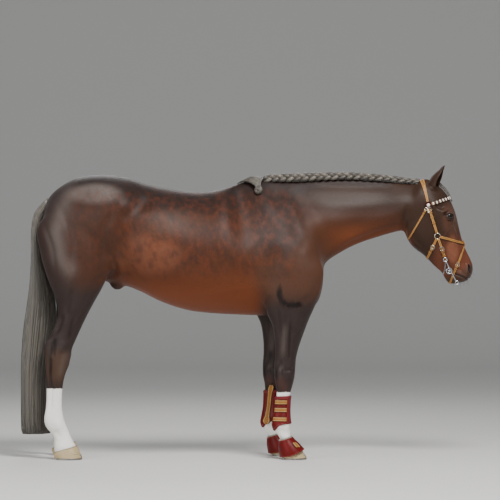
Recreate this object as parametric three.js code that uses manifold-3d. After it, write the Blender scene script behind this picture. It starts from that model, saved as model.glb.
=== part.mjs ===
// A standing saddle horse, life size, as a museum model: dark bay body with a silver mane and tail, the mane
// plaited along the crest, a pelham bridle with a figure-eight noseband but no reins, and leg and bell boots in
// front. Millimetres, +X to the nose, +Y to the horse's left, +Z up. The origin is on the floor, midway between
// the tail and the nose and between the two sides.
import * as THREE from 'three';
import { mergeVertices } from 'three/addons/utils/BufferGeometryUtils.js';
import Module from 'manifold-3d';

const wasm = await Module();
wasm.setup();

// ---------------------------------------------------------------- driving dimensions
const GAP = 0.5; // clearance left between two pieces that touch
const CUT = 0.8; // thickness of the thin cuts that part the body
const FAR = 2400; // beyond every edge of the horse
const SHOE_THICK = 9;
const STRAP_THICK = 4;
const STRAP_WIDE = 17;
const FAR_FORE_BACK = 66; // the left fore stands this far behind the right one
const FAR_HIND_BACK = 32;
const EYE_RADIUS = 24;
const EYE = [1181, 76, 1417];

// How wide a section is at five levels from its first edge (top, or front) to its second (bottom, or back),
// as a share of its half width. The last number is how boxy it is: 1 is an ellipse, less is squarer.
const SHAPES = {
  rump: [0.75, 0.98, 1.0, 0.9, 0.8, 0.86],
  croup: [0.95, 1.04, 1.0, 0.9, 0.75, 0.86],
  loin: [0.82, 0.96, 1.0, 0.98, 0.85, 0.9],
  barrel: [0.7, 0.9, 1.0, 1.02, 0.86, 0.92],
  withers: [0.3, 0.66, 0.95, 1.0, 0.85, 0.92],
  breast: [0.24, 0.6, 0.92, 1.04, 0.95, 0.88],
  neck: [0.28, 0.62, 0.92, 1.04, 0.92, 0.95],
  throat: [0.4, 0.78, 1.0, 1.02, 0.9, 0.92],
  poll: [0.75, 0.98, 1.0, 0.95, 0.8, 0.85],
  brow: [0.72, 1.06, 0.97, 0.87, 0.62, 0.8],
  cheek: [0.6, 0.99, 1.0, 0.93, 0.6, 0.8],
  nose: [0.56, 0.9, 1.04, 0.86, 0.6, 0.82],
  muzzle: [0.62, 0.96, 0.98, 0.86, 0.72, 0.82],
  limb: [0.9, 1.0, 1.0, 0.95, 0.85, 0.92],
  thigh: [0.7, 0.95, 1.0, 0.95, 0.75, 0.86],
  hock: [0.95, 1.05, 1.0, 0.72, 0.62, 0.86],
  knee: [1.0, 1.05, 1.0, 0.85, 0.75, 0.8],
  cannon: [1.0, 1.06, 0.82, 0.78, 0.8, 0.9],
  round: [1, 1, 1, 1, 1, 1],
};

// Stations along a body. Each is a cross-section whose two edges are points [x, z] in the horse's own upright
// plane, with half its width, its shape from the list above, and how far its middle lies out from the midline.
const station = (first, second, half, shape, out = 0) => ({ first, second, half, shape: SHAPES[shape], out });

// Buttock to poll: first is the top line, second the belly and the throat.
const TRUNK = [
  station([-1196, 1440], [-1204, 1300], 96, 'rump'),
  station([-1162, 1536], [-1190, 1200], 150, 'rump'),
  station([-1082, 1606], [-1125, 1110], 200, 'rump'),
  station([-985, 1650], [-1015, 1066], 238, 'croup'),
  station([-854, 1665], [-888, 1040], 266, 'croup'),
  station([-722, 1652], [-770, 1024], 279, 'croup'),
  station([-610, 1618], [-640, 980], 284, 'loin'),
  station([-478, 1587], [-510, 916], 292, 'loin'),
  station([-345, 1566], [-360, 866], 302, 'barrel'),
  station([-236, 1567], [-210, 846], 300, 'barrel'),
  station([-142, 1584], [-60, 838], 288, 'barrel'),
  station([-65, 1610], [80, 833], 266, 'withers'),
  station([10, 1636], [210, 838], 246, 'withers'),
  station([75, 1642], [330, 856], 232, 'withers'),
  station([140, 1636], [410, 902], 222, 'breast'),
  station([205, 1630], [444, 995], 206, 'breast'),
  station([280, 1630], [450, 1078], 184, 'breast'),
  station([360, 1635], [458, 1136], 158, 'neck'),
  station([455, 1642], [530, 1190], 131, 'neck'),
  station([610, 1645], [650, 1252], 107, 'neck'),
  station([798, 1633], [800, 1302], 93, 'neck'),
  station([925, 1620], [895, 1328], 88, 'throat'),
  station([1005, 1612], [955, 1345], 82, 'throat'),
  station([1050, 1590], [1010, 1400], 60, 'throat'),
];

// Poll to lips: first is the line of the face, second the line of the jaw.
const HEAD = [
  station([990, 1600], [945, 1450], 48, 'poll'),
  station([1022, 1634], [925, 1388], 76, 'poll'),
  station([1066, 1638], [924, 1334], 88, 'poll'),
  station([1122, 1604], [939, 1284], 97, 'brow'),
  station([1170, 1556], [968, 1239], 104, 'brow'),
  station([1206, 1494], [1006, 1210], 107, 'brow'),
  station([1229, 1434], [1040, 1186], 100, 'brow'),
  station([1243, 1376], [1070, 1156], 86, 'cheek'),
  station([1256, 1320], [1096, 1128], 73, 'cheek'),
  station([1272, 1266], [1121, 1106], 63, 'nose'),
  station([1293, 1215], [1143, 1086], 57, 'nose'),
  station([1314, 1172], [1156, 1064], 56, 'muzzle'),
  station([1328, 1136], [1170, 1044], 58, 'muzzle'),
  station([1330, 1100], [1190, 1030], 57, 'muzzle'),
  station([1318, 1064], [1218, 1024], 49, 'muzzle'),
  station([1296, 1040], [1250, 1026], 30, 'muzzle'),
];

// Shoulder to coronet, and hip to coronet: first is the front edge, second the back edge.
const FORE_LEG = [
  station([290, 1330], [110, 1370], 46, 'limb', 128),
  station([388, 1215], [80, 1250], 80, 'limb', 148),
  station([442, 1110], [72, 1130], 94, 'limb', 156),
  station([440, 1010], [84, 1010], 92, 'limb', 158),
  station([416, 928], [100, 918], 86, 'limb', 158),
  station([388, 866], [114, 844], 77, 'limb', 157),
  station([358, 800], [140, 790], 68, 'limb', 156),
  station([333, 734], [154, 728], 60, 'limb', 154),
  station([306, 660], [161, 655], 51, 'limb', 152),
  station([289, 592], [160, 590], 47, 'limb', 151),
  station([284, 536], [156, 530], 50, 'knee', 150),
  station([279, 480], [158, 474], 49, 'knee', 150),
  station([267, 428], [168, 422], 40, 'knee', 150),
  station([252, 372], [169, 368], 33, 'cannon', 150),
  station([247, 300], [166, 294], 31, 'cannon', 150),
  station([248, 246], [157, 240], 37, 'cannon', 150),
  station([252, 208], [151, 194], 42, 'limb', 150),
  station([253, 170], [172, 150], 37, 'limb', 150),
  station([257, 134], [194, 112], 37, 'limb', 150),
  station([277, 104], [197, 82], 48, 'round', 150),
  station([297, 84], [198, 56], 55, 'round', 150),
  station([299, 70], [202, 44], 52, 'round', 150),
];
const HIND_LEG = [
  station([-880, 1500], [-1060, 1500], 60, 'thigh', 110),
  station([-810, 1420], [-1170, 1430], 104, 'thigh', 124),
  station([-775, 1330], [-1229, 1345], 126, 'thigh', 134),
  station([-776, 1220], [-1214, 1220], 132, 'thigh', 144),
  station([-792, 1112], [-1182, 1098], 120, 'thigh', 155),
  station([-832, 1012], [-1146, 1000], 99, 'thigh', 163),
  station([-880, 926], [-1114, 928], 79, 'limb', 166),
  station([-925, 842], [-1106, 856], 64, 'limb', 166),
  station([-962, 766], [-1122, 786], 53, 'limb', 166),
  station([-994, 698], [-1156, 710], 46, 'hock', 166),
  station([-1018, 642], [-1180, 656], 48, 'hock', 166),
  station([-1032, 590], [-1182, 598], 47, 'hock', 166),
  station([-1046, 528], [-1177, 530], 41, 'hock', 166),
  station([-1066, 455], [-1172, 455], 33, 'cannon', 166),
  station([-1075, 380], [-1171, 378], 30, 'cannon', 166),
  station([-1076, 310], [-1174, 304], 30, 'cannon', 166),
  station([-1067, 246], [-1184, 236], 39, 'limb', 166),
  station([-1054, 206], [-1172, 188], 41, 'limb', 166),
  station([-1038, 168], [-1136, 146], 35, 'limb', 166),
  station([-1022, 130], [-1124, 106], 38, 'limb', 166),
  station([-1006, 98], [-1126, 78], 49, 'round', 166),
  station([-995, 80], [-1124, 46], 55, 'round', 166),
  station([-993, 66], [-1122, 30], 52, 'round', 166),
];

// Hoof walls from the coronet to the ground, and the rubber bell over each front one.
const FORE_HOOF = [
  station([302, 86], [196, 50], 59, 'round', 150),
  station([320, 58], [196, 34], 63, 'round', 150),
  station([346, SHOE_THICK + GAP], [202, SHOE_THICK + GAP], 68, 'round', 150),
];
const HIND_HOOF = [
  station([-991, 82], [-1128, 43], 57, 'round', 166),
  station([-977, 56], [-1130, 27], 61, 'round', 166),
  station([-962, SHOE_THICK + GAP], [-1122, SHOE_THICK + GAP], 65, 'round', 166),
];
const BELL = [
  station([260, 150], [184, 126], 46, 'round', 150),
  station([269, 128], [183, 104], 54, 'round', 150),
  station([306, 92], [182, 70], 69, 'round', 150),
  station([338, 56], [186, 38], 79, 'round', 150),
  station([354, 32], [192, 12], 82, 'round', 150),
];

// The tail hair: first is the back edge, second the front edge.
const TAIL = [
  station([-1176, 1530], [-1150, 1490], 26, 'round'),
  station([-1213, 1492], [-1168, 1440], 40, 'round'),
  station([-1254, 1436], [-1196, 1400], 48, 'round'),
  station([-1271, 1340], [-1206, 1320], 52, 'round'),
  station([-1272, 1210], [-1196, 1205], 60, 'round'),
  station([-1276, 1080], [-1166, 1078], 72, 'round'),
  station([-1293, 920], [-1128, 920], 84, 'round'),
  station([-1318, 760], [-1122, 760], 92, 'round'),
  station([-1331, 580], [-1142, 580], 94, 'round'),
  station([-1332, 400], [-1158, 400], 90, 'round'),
  station([-1332, 230], [-1160, 230], 84, 'round'),
  station([-1328, 150], [-1152, 152], 74, 'round'),
  station([-1310, 134], [-1176, 138], 46, 'round'),
];

// The plait along the crest, from the withers to the poll: first is its top edge.
const BRAID = [
  station([98, 1662], [94, 1612], 8, 'round', -16),
  station([122, 1668], [120, 1612], 21, 'round', -14),
  station([160, 1672], [160, 1614], 25, 'round', -12),
  station([300, 1678], [300, 1618], 27, 'round', -12),
  station([455, 1682], [455, 1624], 26, 'round', -12),
  station([610, 1683], [610, 1630], 25, 'round', -12),
  station([798, 1668], [798, 1622], 21, 'round', -12),
  station([925, 1650], [925, 1612], 16, 'round', -12),
  station([1000, 1643], [1000, 1610], 12, 'round', -12),
  station([1016, 1640], [1016, 1614], 5, 'round', -12),
];
// The last of the mane, drawn down the right of the withers into a small bun.
const MANE_FAN = [
  station([-66, 1622], [-58, 1606], 9, 'round', 12),
  station([-30, 1646], [-12, 1592], 15, 'round', 22),
  station([30, 1668], [30, 1580], 20, 'round', 34),
  station([84, 1670], [60, 1585], 20, 'round', 42),
  station([112, 1660], [92, 1600], 11, 'round', 40),
];
const BUN = { centre: [66, -88, 1572], radii: [23, 18, 24] };
const FORELOCK = [
  station([1120, 1632], [1110, 1600], 10, 'round'),
  station([1156, 1612], [1132, 1580], 19, 'round'),
  station([1190, 1578], [1158, 1556], 17, 'round'),
  station([1214, 1548], [1176, 1524], 13, 'round'),
  station([1222, 1528], [1192, 1512], 6, 'round'),
];

// Flesh and bone that stand out of the plain sections, or sink into them: the two ends [x, y, z] of each form
// on one side of the horse, how far it reaches, and how far it lifts the surface there.
const RELIEF = [
  { name: 'point of hip', from: [-735, 250, 1540], to: [-700, 262, 1500], reach: 60, lift: 14 },
  { name: 'point of shoulder', from: [432, 150, 1150], to: [425, 170, 1100], reach: 70, lift: 12 },
  { name: 'shoulder blade', from: [80, 120, 1560], to: [330, 200, 1230], reach: 70, lift: 12 },
  { name: 'hollow before the shoulder', from: [330, 90, 1560], to: [470, 130, 1260], reach: 60, lift: -10 },
  { name: 'jugular groove', from: [520, 100, 1270], to: [880, 80, 1400], reach: 40, lift: -7 },
  { name: 'flank', from: [-690, 240, 1330], to: [-740, 230, 1180], reach: 80, lift: -16 },
  { name: 'cheek muscle', from: [985, 85, 1330], to: [1040, 85, 1270], reach: 60, lift: 7 },
  { name: 'facial crest', from: [1195, 70, 1350], to: [1225, 55, 1270], reach: 22, lift: 5 },
  { name: 'hollow above the eye', from: [1135, 92, 1475], to: [1150, 92, 1468], reach: 20, lift: -7 },
  { name: 'eye socket', from: [1160, 88, 1432], to: [1194, 80, 1420], reach: 36, lift: 13 },
  { name: 'nostril', from: [1306, 44, 1128], to: [1300, 50, 1088], reach: 22, lift: 8 },
  { name: 'chin', from: [1190, 15, 1035], to: [1200, 15, 1030], reach: 26, lift: 6 },
];

// ---------------------------------------------------------------- surfaces and solids
// A smooth value between the numbers of a list, at s steps along it.
function between(list, s) {
  const i = Math.min(Math.floor(s), list.length - 2);
  const f = s - i;
  const [a, b, c, d] = [-1, 0, 1, 2].map((k) => list[THREE.MathUtils.clamp(i + k, 0, list.length - 1)]);
  return 0.5 * (2 * b + (c - a) * f + (2 * a - 5 * b + 4 * c - d) * f * f + (3 * b - a - 3 * c + d) * f ** 3);
}

// The point of a body at s steps along its stations and at an angle round its section, grown outwards by grow.
function pointOf(stations, s, angle, grow) {
  const read = (pick) => between(stations.map(pick), s);
  const first = new THREE.Vector2(read((k) => k.first[0]), read((k) => k.first[1]));
  const second = new THREE.Vector2(read((k) => k.second[0]), read((k) => k.second[1]));
  const reach = first.clone().sub(second).normalize().multiplyScalar(grow);
  first.add(reach);
  second.sub(reach);
  const level = (1 - Math.cos(angle)) / 2;
  const shape = [0, 1, 2, 3, 4, 5].map((i) => read((k) => k.shape[i]));
  const side = Math.sin(angle);
  const width = Math.abs(side) ** shape[5] * between(shape.slice(0, 5), 4 * level);
  const at = first.lerp(second, level);
  const y = read((k) => k.out) + Math.sign(side) * (read((k) => k.half) + grow) * width;
  return new THREE.Vector3(at.x, y, at.y);
}

// A body swept through its stations: a sphere's own grid, with its poles at the two ends.
function sweep(stations, { around = 20, along = 3 * stations.length, grow = 0 } = {}) {
  const geometry = new THREE.SphereGeometry(1, around, along);
  const { position, uv } = geometry.attributes;
  const last = stations.length - 1;
  for (let i = 0; i < position.count; i++) {
    const row = Math.round((1 - uv.getY(i)) * along);
    const s = THREE.MathUtils.clamp(((row - 1) * last) / (along - 2), 0, last);
    const turn = 2 * Math.PI * Math.round((i % (around + 1)) % around) / around;
    let p = pointOf(stations, s, turn, grow);
    if (row === 0 || row === along)
      p = [0.5, 1.5].map((half) => pointOf(stations, s, half * Math.PI, grow)).reduce((a, b) => a.lerp(b, 0.5));
    position.setXYZ(i, p.x, p.y, p.z);
  }
  return geometry;
}

// Moves each vertex along its own normal by the relief that reaches it, on both sides of the horse alike.
function sculpt(geometry) {
  geometry.deleteAttribute('uv');
  geometry.deleteAttribute('normal');
  const shaped = mergeVertices(geometry, 0.01);
  shaped.computeVertexNormals();
  const { position, normal } = shaped.attributes;
  const flip = new THREE.Vector3(1, -1, 1);
  for (let i = 0; i < position.count; i++) {
    const p = new THREE.Vector3().fromBufferAttribute(position, i);
    const side = p.clone();
    side.y = Math.abs(p.y);
    let lift = 0;
    for (const form of RELIEF) {
      const line = new THREE.Line3(new THREE.Vector3(...form.from), new THREE.Vector3(...form.to));
      const near = line.closestPointToPoint(side, true, new THREE.Vector3()).distanceTo(side);
      lift += form.lift * Math.exp(-((near / form.reach) ** 2));
    }
    p.addScaledVector(new THREE.Vector3().fromBufferAttribute(normal, i), lift);
    position.setXYZ(i, p.x, p.y, p.z);
  }
  return shaped;
}

// A closed geometry as a solid, turned face out if its winding runs the other way.
function solid(geometry) {
  const bare = geometry.clone();
  bare.deleteAttribute('uv');
  bare.deleteAttribute('normal');
  const { attributes, index } = mergeVertices(bare, 0.001);
  const corners = Array.from(index.array);
  const triangles = [];
  for (let i = 0; i < corners.length; i += 3) {
    const [a, b, c] = corners.slice(i, i + 3);
    if (a !== b && b !== c && c !== a) triangles.push(a, b, c);
  }
  const make = (faces) =>
    new wasm.Manifold(
      new wasm.Mesh({ numProp: 3, vertProperties: attributes.position.array, triVerts: new Uint32Array(faces) }),
    );
  const made = make(triangles);
  return made.volume() > 0 ? made : make(triangles.reverse());
}

function placed(geometry, matrix) {
  return solid(geometry.applyMatrix4(matrix));
}
const move = (x, y, z) => new THREE.Matrix4().makeTranslation(x, y, z);
const mirrorY = new THREE.Matrix4().makeScale(1, -1, 1);

// A box along a line of the upright plane: its two ends, how far it stands off the line on each side, its y range,
// and how far it runs on past both ends.
function plank([x0, z0], [x1, z1], low, high, yLow = -FAR, yHigh = FAR, past = 0) {
  const length = Math.hypot(x1 - x0, z1 - z0) + 2 * past;
  const box = new THREE.BoxGeometry(length, yHigh - yLow, high - low);
  box.translate(length / 2 - past, (yLow + yHigh) / 2, (low + high) / 2);
  const turn = new THREE.Matrix4().makeRotationY(-Math.atan2(z1 - z0, x1 - x0));
  return placed(box, move(x0, 0, z0).multiply(turn));
}

// All that lies to the right of a line of the upright plane, seen from the horse's right, moved left by more.
const rightOf = ([from, to], more = 0) => plank(from, to, -FAR, more, -FAR, FAR, FAR);

// A sweep is drawn on the left and mirrored for the right.
function onSide(stations, side, options = {}) {
  const geometry = sweep(stations, options);
  geometry.applyMatrix4(side.y < 0 ? mirrorY : move(-(options.back ?? 0), 0, 0));
  return solid(geometry);
}

// A rod, ball or ring standing across the horse, at a point [x, y, z].
const pin = ([x, y, z], radius, length, sides = 8) =>
  placed(new THREE.CylinderGeometry(radius, radius, length, sides), move(x, y, z));
const ring = ([x, y, z], radius, tube) =>
  placed(new THREE.TorusGeometry(radius, tube, 4, 8).rotateX(Math.PI / 2), move(x, y, z));
const ball = ([x, y, z], radii, tilt = 0, around = 12) =>
  placed(new THREE.SphereGeometry(1, around, around - 4).scale(...radii).rotateY(tilt), move(x, y, z));

const join = (pieces) => pieces.reduce((sum, piece) => sum.add(piece));
const largest = (piece) => piece.decompose().reduce((best, one) => (one.volume() > best.volume() ? one : best));

// ---------------------------------------------------------------- the flesh, whole
const RIGHT = { name: 'right', y: -1, foreBack: 0, hindBack: 0 };
const LEFT = { name: 'left', y: 1, foreBack: FAR_FORE_BACK, hindBack: FAR_HIND_BACK };
const SIDES = [RIGHT, LEFT];

const SHEATH = { at: [-768, 0, 1012], radii: [44, 33, 30], tilt: -0.3 };

const TRUNK_GRID = { around: 16, along: 26 };
const HEAD_GRID = { around: 16, along: 18 };
const LEG_GRID = { around: 8, along: 23 };
const frontOf = (grow) =>
  join([[TRUNK, TRUNK_GRID], [HEAD, HEAD_GRID]].map(([body, grid]) => solid(sculpt(sweep(body, { ...grid, grow })))));
const legOf = (side, grow) => onSide(FORE_LEG, side, { ...LEG_GRID, grow, back: side.foreBack });
function fleshOf(grow) {
  const front = frontOf(grow);
  const sheath = ball(SHEATH.at, SHEATH.radii.map((r) => r + grow), SHEATH.tilt, 10);
  const legs = SIDES.flatMap((side) => [
    legOf(side, grow),
    onSide(HIND_LEG, side, { ...LEG_GRID, grow, back: side.hindBack }),
  ]);
  return { front, all: join([front, sheath, ...legs]) };
}
const flesh = fleshOf(0);
// The body grown by the clearance, cut out of all that lies against it. The sections grow but not the ends, so
// the body itself is also moved back by as much.
const grown = fleshOf(GAP);
const clear = { front: grown.front, all: grown.all.add(flesh.all.translate([-GAP, 0, 0])) };

// ---------------------------------------------------------------- eyes, ears, nostrils and mouth
const onHead = ([x, y, z], side) => [x, side.y * y, z];
const eyeOf = (side, grow) => ball(onHead(EYE, side), Array(3).fill(EYE_RADIUS + grow), 0, 9);
const NOSTRIL = { at: [1309, 50, 1107], radii: [10, 14, 22], tilt: -0.35 };
const MOUTH = [[1178, 1098], [1340, 1028]];
const MOUTH_OPEN = 3;
const BIT = { mouth: [1184, 0, 1098], bar: 6, out: 66, rod: 4.5 };

// The ear is a leaf whose front is scooped out.
const EAR = [
  station([1130, 1570], [1064, 1612], 24, 'round', 50),
  station([1142, 1606], [1070, 1646], 28, 'round', 53),
  station([1154, 1644], [1094, 1678], 24, 'round', 58),
  station([1164, 1684], [1128, 1702], 14, 'round', 61),
  station([1164, 1717], [1156, 1720], 4, 'round', 62),
];
const EAR_SCOOP = [
  station([1162, 1610], [1108, 1638], 8, 'round', 72),
  station([1174, 1638], [1106, 1668], 15, 'round', 75),
  station([1180, 1672], [1124, 1696], 13, 'round', 73),
  station([1176, 1702], [1148, 1712], 6, 'round', 69),
];
function earOf(side) {
  const leaf = onSide(EAR, side, { around: 8, along: 6 });
  const scoop = onSide(EAR_SCOOP, side, { around: 6, along: 5 });
  return largest(leaf.subtract(scoop).subtract(clear.front));
}

// ---------------------------------------------------------------- hooves, shoes and boots
const hoofOf = (stations, side, back) => onSide(stations, side, { around: 10, along: 4, back });

// A shoe is a plate round the toe, open at the heels.
function shoeOf(stations, side, back) {
  const { first, second, half, out } = stations.at(-1);
  const long = (first[0] - second[0]) / 2 + 2;
  const open = 0.8 * Math.PI;
  const shape = new THREE.Shape();
  shape.absellipse(0, 0, long, half + 1, -open, open, false);
  shape.absellipse(0, 0, long - 23, half - 21, open, -open, true);
  const plate = new THREE.ExtrudeGeometry(shape, { depth: SHOE_THICK, bevelEnabled: false, curveSegments: 6 });
  return placed(plate, move((first[0] + second[0]) / 2 - back, side.y * out, 0));
}

// A boot is the space between the leg grown by its thickness and the leg grown by the clearance, between two lines.
const BOOT = { thick: 7, top: [[100, 364], [320, 374]], bottom: [[140, 158], [260, 212]] };
const STRAP_HEIGHTS = [334, 290, 236];
const slideBack = (line, back, up = 0) => line.map(([x, z]) => [x - back, z + up]);
const LEFT_BOOT_UP = 22;
const bandOf = (side, top, bottom, outer, inner) =>
  legOf(side, outer)
    .subtract(legOf(side, inner))
    .intersect(rightOf(slideBack(top, side.foreBack)))
    .subtract(rightOf(slideBack(bottom, side.foreBack)));

function bootParts(side) {
  const up = side === LEFT ? LEFT_BOOT_UP : 0;
  const top = slideBack(BOOT.top, 0, up);
  const parts = { [`leg_boot_${side.name}`]: bandOf(side, top, BOOT.bottom, BOOT.thick, GAP) };
  const outer = BOOT.thick + GAP + 3;
  const face = (low, high) => (side.y < 0 ? [-high, -low] : [low, high]);
  STRAP_HEIGHTS.forEach((z, i) => {
    const band = bandOf(side, [[0, z + up + 12], [400, z + up + 14]], [[0, z + up - 12], [400, z + up - 10]],
      outer, BOOT.thick + GAP);
    const reach = plank([156 - side.foreBack, z], [230 - side.foreBack, z], -60, 60, ...face(150, 260));
    parts[`boot_strap_${i + 1}_${side.name}`] = band.intersect(reach);
  });
  const pad = bandOf(side, [[0, 372 + up], [400, 372 + up]], [[0, 186], [400, 186]], outer, BOOT.thick + GAP);
  const padReach = plank([182 - side.foreBack, 0], [212 - side.foreBack, 0], 0, 600, ...face(40, 150));
  parts[`boot_pad_${side.name}`] = pad.intersect(padReach);
  return parts;
}

const BELL_TOP = [[150, 96], [340, 154]];
const BELL_EDGE = [[190, 10], [340, 58]];
const BELL_THICK = 6;
function bellOf(side) {
  const grown = (grow) => onSide(BELL, side, { around: 10, along: 5, grow, back: side.foreBack });
  return largest(
    grown(0)
      .subtract(grown(-BELL_THICK))
      .intersect(rightOf(slideBack(BELL_TOP, side.foreBack)))
      .subtract(rightOf(slideBack(BELL_EDGE, side.foreBack)))
      .subtract(clear.all),
  );
}

// ---------------------------------------------------------------- bridle
// Straps lie on the head: each is a plank through the space between the head grown by two amounts.
const strapLayer = frontOf(GAP + STRAP_THICK).subtract(clear.front);
const studLayer = frontOf(GAP + 2 * STRAP_THICK).subtract(clear.front);

const BROW_JOINT = [1061, 1482];
const CHEEK_RING = [1114, 1302];
const NOSE_CROSS = [1280, 1256];
const BIT_RING = [1168, 1150];
const STUD = 15;
const RING = 17;
const CROWN_TOP = [1022, 1660];
const BROW_FRONT = [1215, 1532];
const THROAT_UNDER = [925, 1240];
const JAW_UNDER = [1046, 1140];
const CHIN_UNDER = [1190, 1020];

// A point so far along the line from one point to another.
const towards = ([x0, z0], [x1, z1], far) => {
  const length = Math.hypot(x1 - x0, z1 - z0);
  return [x0 + ((x1 - x0) * far) / length, z0 + ((z1 - z0) * far) / length];
};
const onStud = (aim) => towards(BROW_JOINT, aim, STUD + 2);
const onRing = (aim) => towards(CHEEK_RING, aim, RING + 2);

const strapFrom = (from, to, wide, side) => ({ from, to, wide, side });
const NOSE_OVER = towards(CHEEK_RING, NOSE_CROSS, 220);
const STRAPS = {
  crownpiece: strapFrom(onStud(CROWN_TOP), CROWN_TOP, 26),
  browband: strapFrom(onStud(BROW_FRONT), BROW_FRONT, STRAP_WIDE),
  throatlash: strapFrom(onStud(THROAT_UNDER), THROAT_UNDER, 12),
  noseband_upper: strapFrom(onRing(NOSE_CROSS), NOSE_OVER, STRAP_WIDE),
  jaw_strap: strapFrom(towards(CHEEK_RING, JAW_UNDER, RING + 12), JAW_UNDER, STRAP_WIDE),
  noseband_lower: strapFrom(NOSE_CROSS, CHIN_UNDER, STRAP_WIDE - 2),
};
for (const side of SIDES) {
  STRAPS[`cheekpiece_${side.name}`] = strapFrom(onStud(CHEEK_RING), onRing(BROW_JOINT), STRAP_WIDE, side);
  STRAPS[`bit_strap_${side.name}`] = strapFrom(onRing(BIT_RING), towards(BIT_RING, CHEEK_RING, 34), STRAP_WIDE, side);
}
const sideRange = (side) => (side ? (side.y < 0 ? [-FAR, -1] : [1, FAR]) : [-FAR, FAR]);
const strapOf = ({ from, to, wide, side }, layer, extra = 0) =>
  layer.intersect(plank(from, to, -wide / 2 - extra, wide / 2 + extra, ...sideRange(side), extra));
const studAt = ([x, z], radius, side) =>
  studLayer.intersect(pin([x, (side.y * FAR) / 2, z], radius, FAR));

// The room the straps take up, kept free of hair.
const roomLayer = frontOf(2 * GAP + STRAP_THICK);
const strapRoom = join(Object.values(STRAPS).map((strap) => strapOf(strap, roomLayer, GAP)));

function bridleParts() {
  const parts = {};
  const studs = join(SIDES.flatMap((side) => [
    studAt(BROW_JOINT, STUD + 1, side), studAt(CHEEK_RING, RING + 1, side),
  ]));
  for (const [name, strap] of Object.entries(STRAPS)) {
    parts[name] = strapOf(strap, strapLayer).subtract(studs);
  }
  parts.noseband_lower = parts.noseband_lower.subtract(strapOf(STRAPS.noseband_upper, roomLayer, GAP));
  for (const side of SIDES) {
    const [x, z] = CHEEK_RING;
    parts[`brow_stud_${side.name}`] = studAt(BROW_JOINT, STUD, side);
    parts[`cheek_ring_${side.name}`] = studAt(CHEEK_RING, RING, side).subtract(pin([x, side.y * 100, z], RING - 7, 200));
  }
  return Object.fromEntries(Object.entries(parts).map(([name, piece]) => [name, largest(piece)]));
}

// A pelham bit: a bar through the mouth, and at each end a straight shank with three rings.
function bitOf() {
  const [x, , z] = BIT.mouth;
  const cheek = (side) => {
    const y = side.y * BIT.out;
    const top = [BIT_RING[0] - 4, y, BIT_RING[1] + 4];
    const end = [x + 42, y, z - 62];
    const along = new THREE.Vector3(end[0] - top[0], 0, end[2] - top[2]);
    const rod = new THREE.CylinderGeometry(BIT.rod, BIT.rod, along.length(), 6);
    rod.applyQuaternion(new THREE.Quaternion().setFromUnitVectors(new THREE.Vector3(0, 1, 0), along.clone().normalize()));
    return join([
      placed(rod, move((top[0] + end[0]) / 2, y, (top[2] + end[2]) / 2)),
      ring(towardsEnd(top, end, -11), 11, 3.5),
      ring([x + 1, y, z], 16, 4),
      ring(towardsEnd(end, top, -9), 9, 3.2),
    ]);
  };
  return join([pin(BIT.mouth, BIT.bar, 2 * BIT.out), ...SIDES.map(cheek)]);
}
const towardsEnd = (from, to, far) => {
  const [x, z] = towards([from[0], from[2]], [to[0], to[2]], far);
  return [x, from[1], z];
};

// ---------------------------------------------------------------- parting the body
const POLL_CUT = [[900, 1310], [1046, 1700]];
const SHOULDER_CUT = [[470, 1075], [70, 1720]];
const FORE_CUT = [[40, 820], [520, 866]];
const HIND_CUT = [[-1300, 1042], [-790, 1000]];

// The block that a leg is taken out by: all below its line, on its own side.
const legBlock = (line, side, grow) => plank(...line, -FAR, grow, ...sideRange(side));

function bodyParts() {
  const cut = CUT / 2;
  let head = flesh.all.intersect(rightOf(POLL_CUT, -cut));
  head = head.subtract(plank(MOUTH[0], MOUTH[1], -MOUTH_OPEN / 2, MOUTH_OPEN / 2));
  head = head.subtract(pin(BIT.mouth, BIT.bar + GAP, 400));
  for (const side of SIDES) {
    head = head.subtract(eyeOf(side, GAP)).subtract(ball(onHead(NOSTRIL.at, side), NOSTRIL.radii, NOSTRIL.tilt, 8));
  }
  const parts = { head: largest(head) };
  const behindHead = flesh.all.subtract(rightOf(POLL_CUT, cut));
  parts.neck = largest(behindHead.intersect(rightOf(SHOULDER_CUT, -cut)));
  const behindNeck = behindHead.subtract(rightOf(SHOULDER_CUT, cut));
  let trunk = behindNeck;
  for (const side of SIDES) {
    parts[`fore_leg_${side.name}`] = largest(behindNeck.intersect(legBlock(FORE_CUT, side, 0)));
    parts[`hind_leg_${side.name}`] = largest(behindNeck.intersect(legBlock(HIND_CUT, side, 0)));
    trunk = trunk.subtract(legBlock(FORE_CUT, side, CUT)).subtract(legBlock(HIND_CUT, side, CUT));
  }
  parts.trunk = largest(trunk);
  return parts;
}

// ---------------------------------------------------------------- the model
const model = new THREE.Group();

function add(name, piece, { colour, roughness, metalness = 0 }) {
  const { numProp, numVert, vertProperties, triVerts } = piece.getMesh();
  const points = new Float32Array(numVert * 3);
  for (let i = 0; i < numVert; i++) points.set(vertProperties.subarray(i * numProp, i * numProp + 3), i * 3);
  const geometry = new THREE.BufferGeometry();
  geometry.setAttribute('position', new THREE.BufferAttribute(points, 3));
  geometry.setIndex(new THREE.BufferAttribute(new Uint32Array(triVerts), 1));
  geometry.computeVertexNormals();
  const mesh = new THREE.Mesh(geometry, new THREE.MeshStandardMaterial({ color: colour, roughness, metalness }));
  mesh.name = name;
  model.add(mesh);
}

const COAT = { colour: '#4a2c22', roughness: 0.55 };
const HAIR = { colour: '#7d736c', roughness: 0.6 };
const HORN = { colour: '#cbb58a', roughness: 0.5 };
const EYE_GLOSS = { colour: '#1c120c', roughness: 0.08 };
const STEEL = { colour: '#a9abad', roughness: 0.3, metalness: 1 };
const TAN = { colour: '#c08a45', roughness: 0.5 };
const RED = { colour: '#8c1216', roughness: 0.6 };
const GOLD = { colour: '#d9c08a', roughness: 0.3, metalness: 1 };

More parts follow.
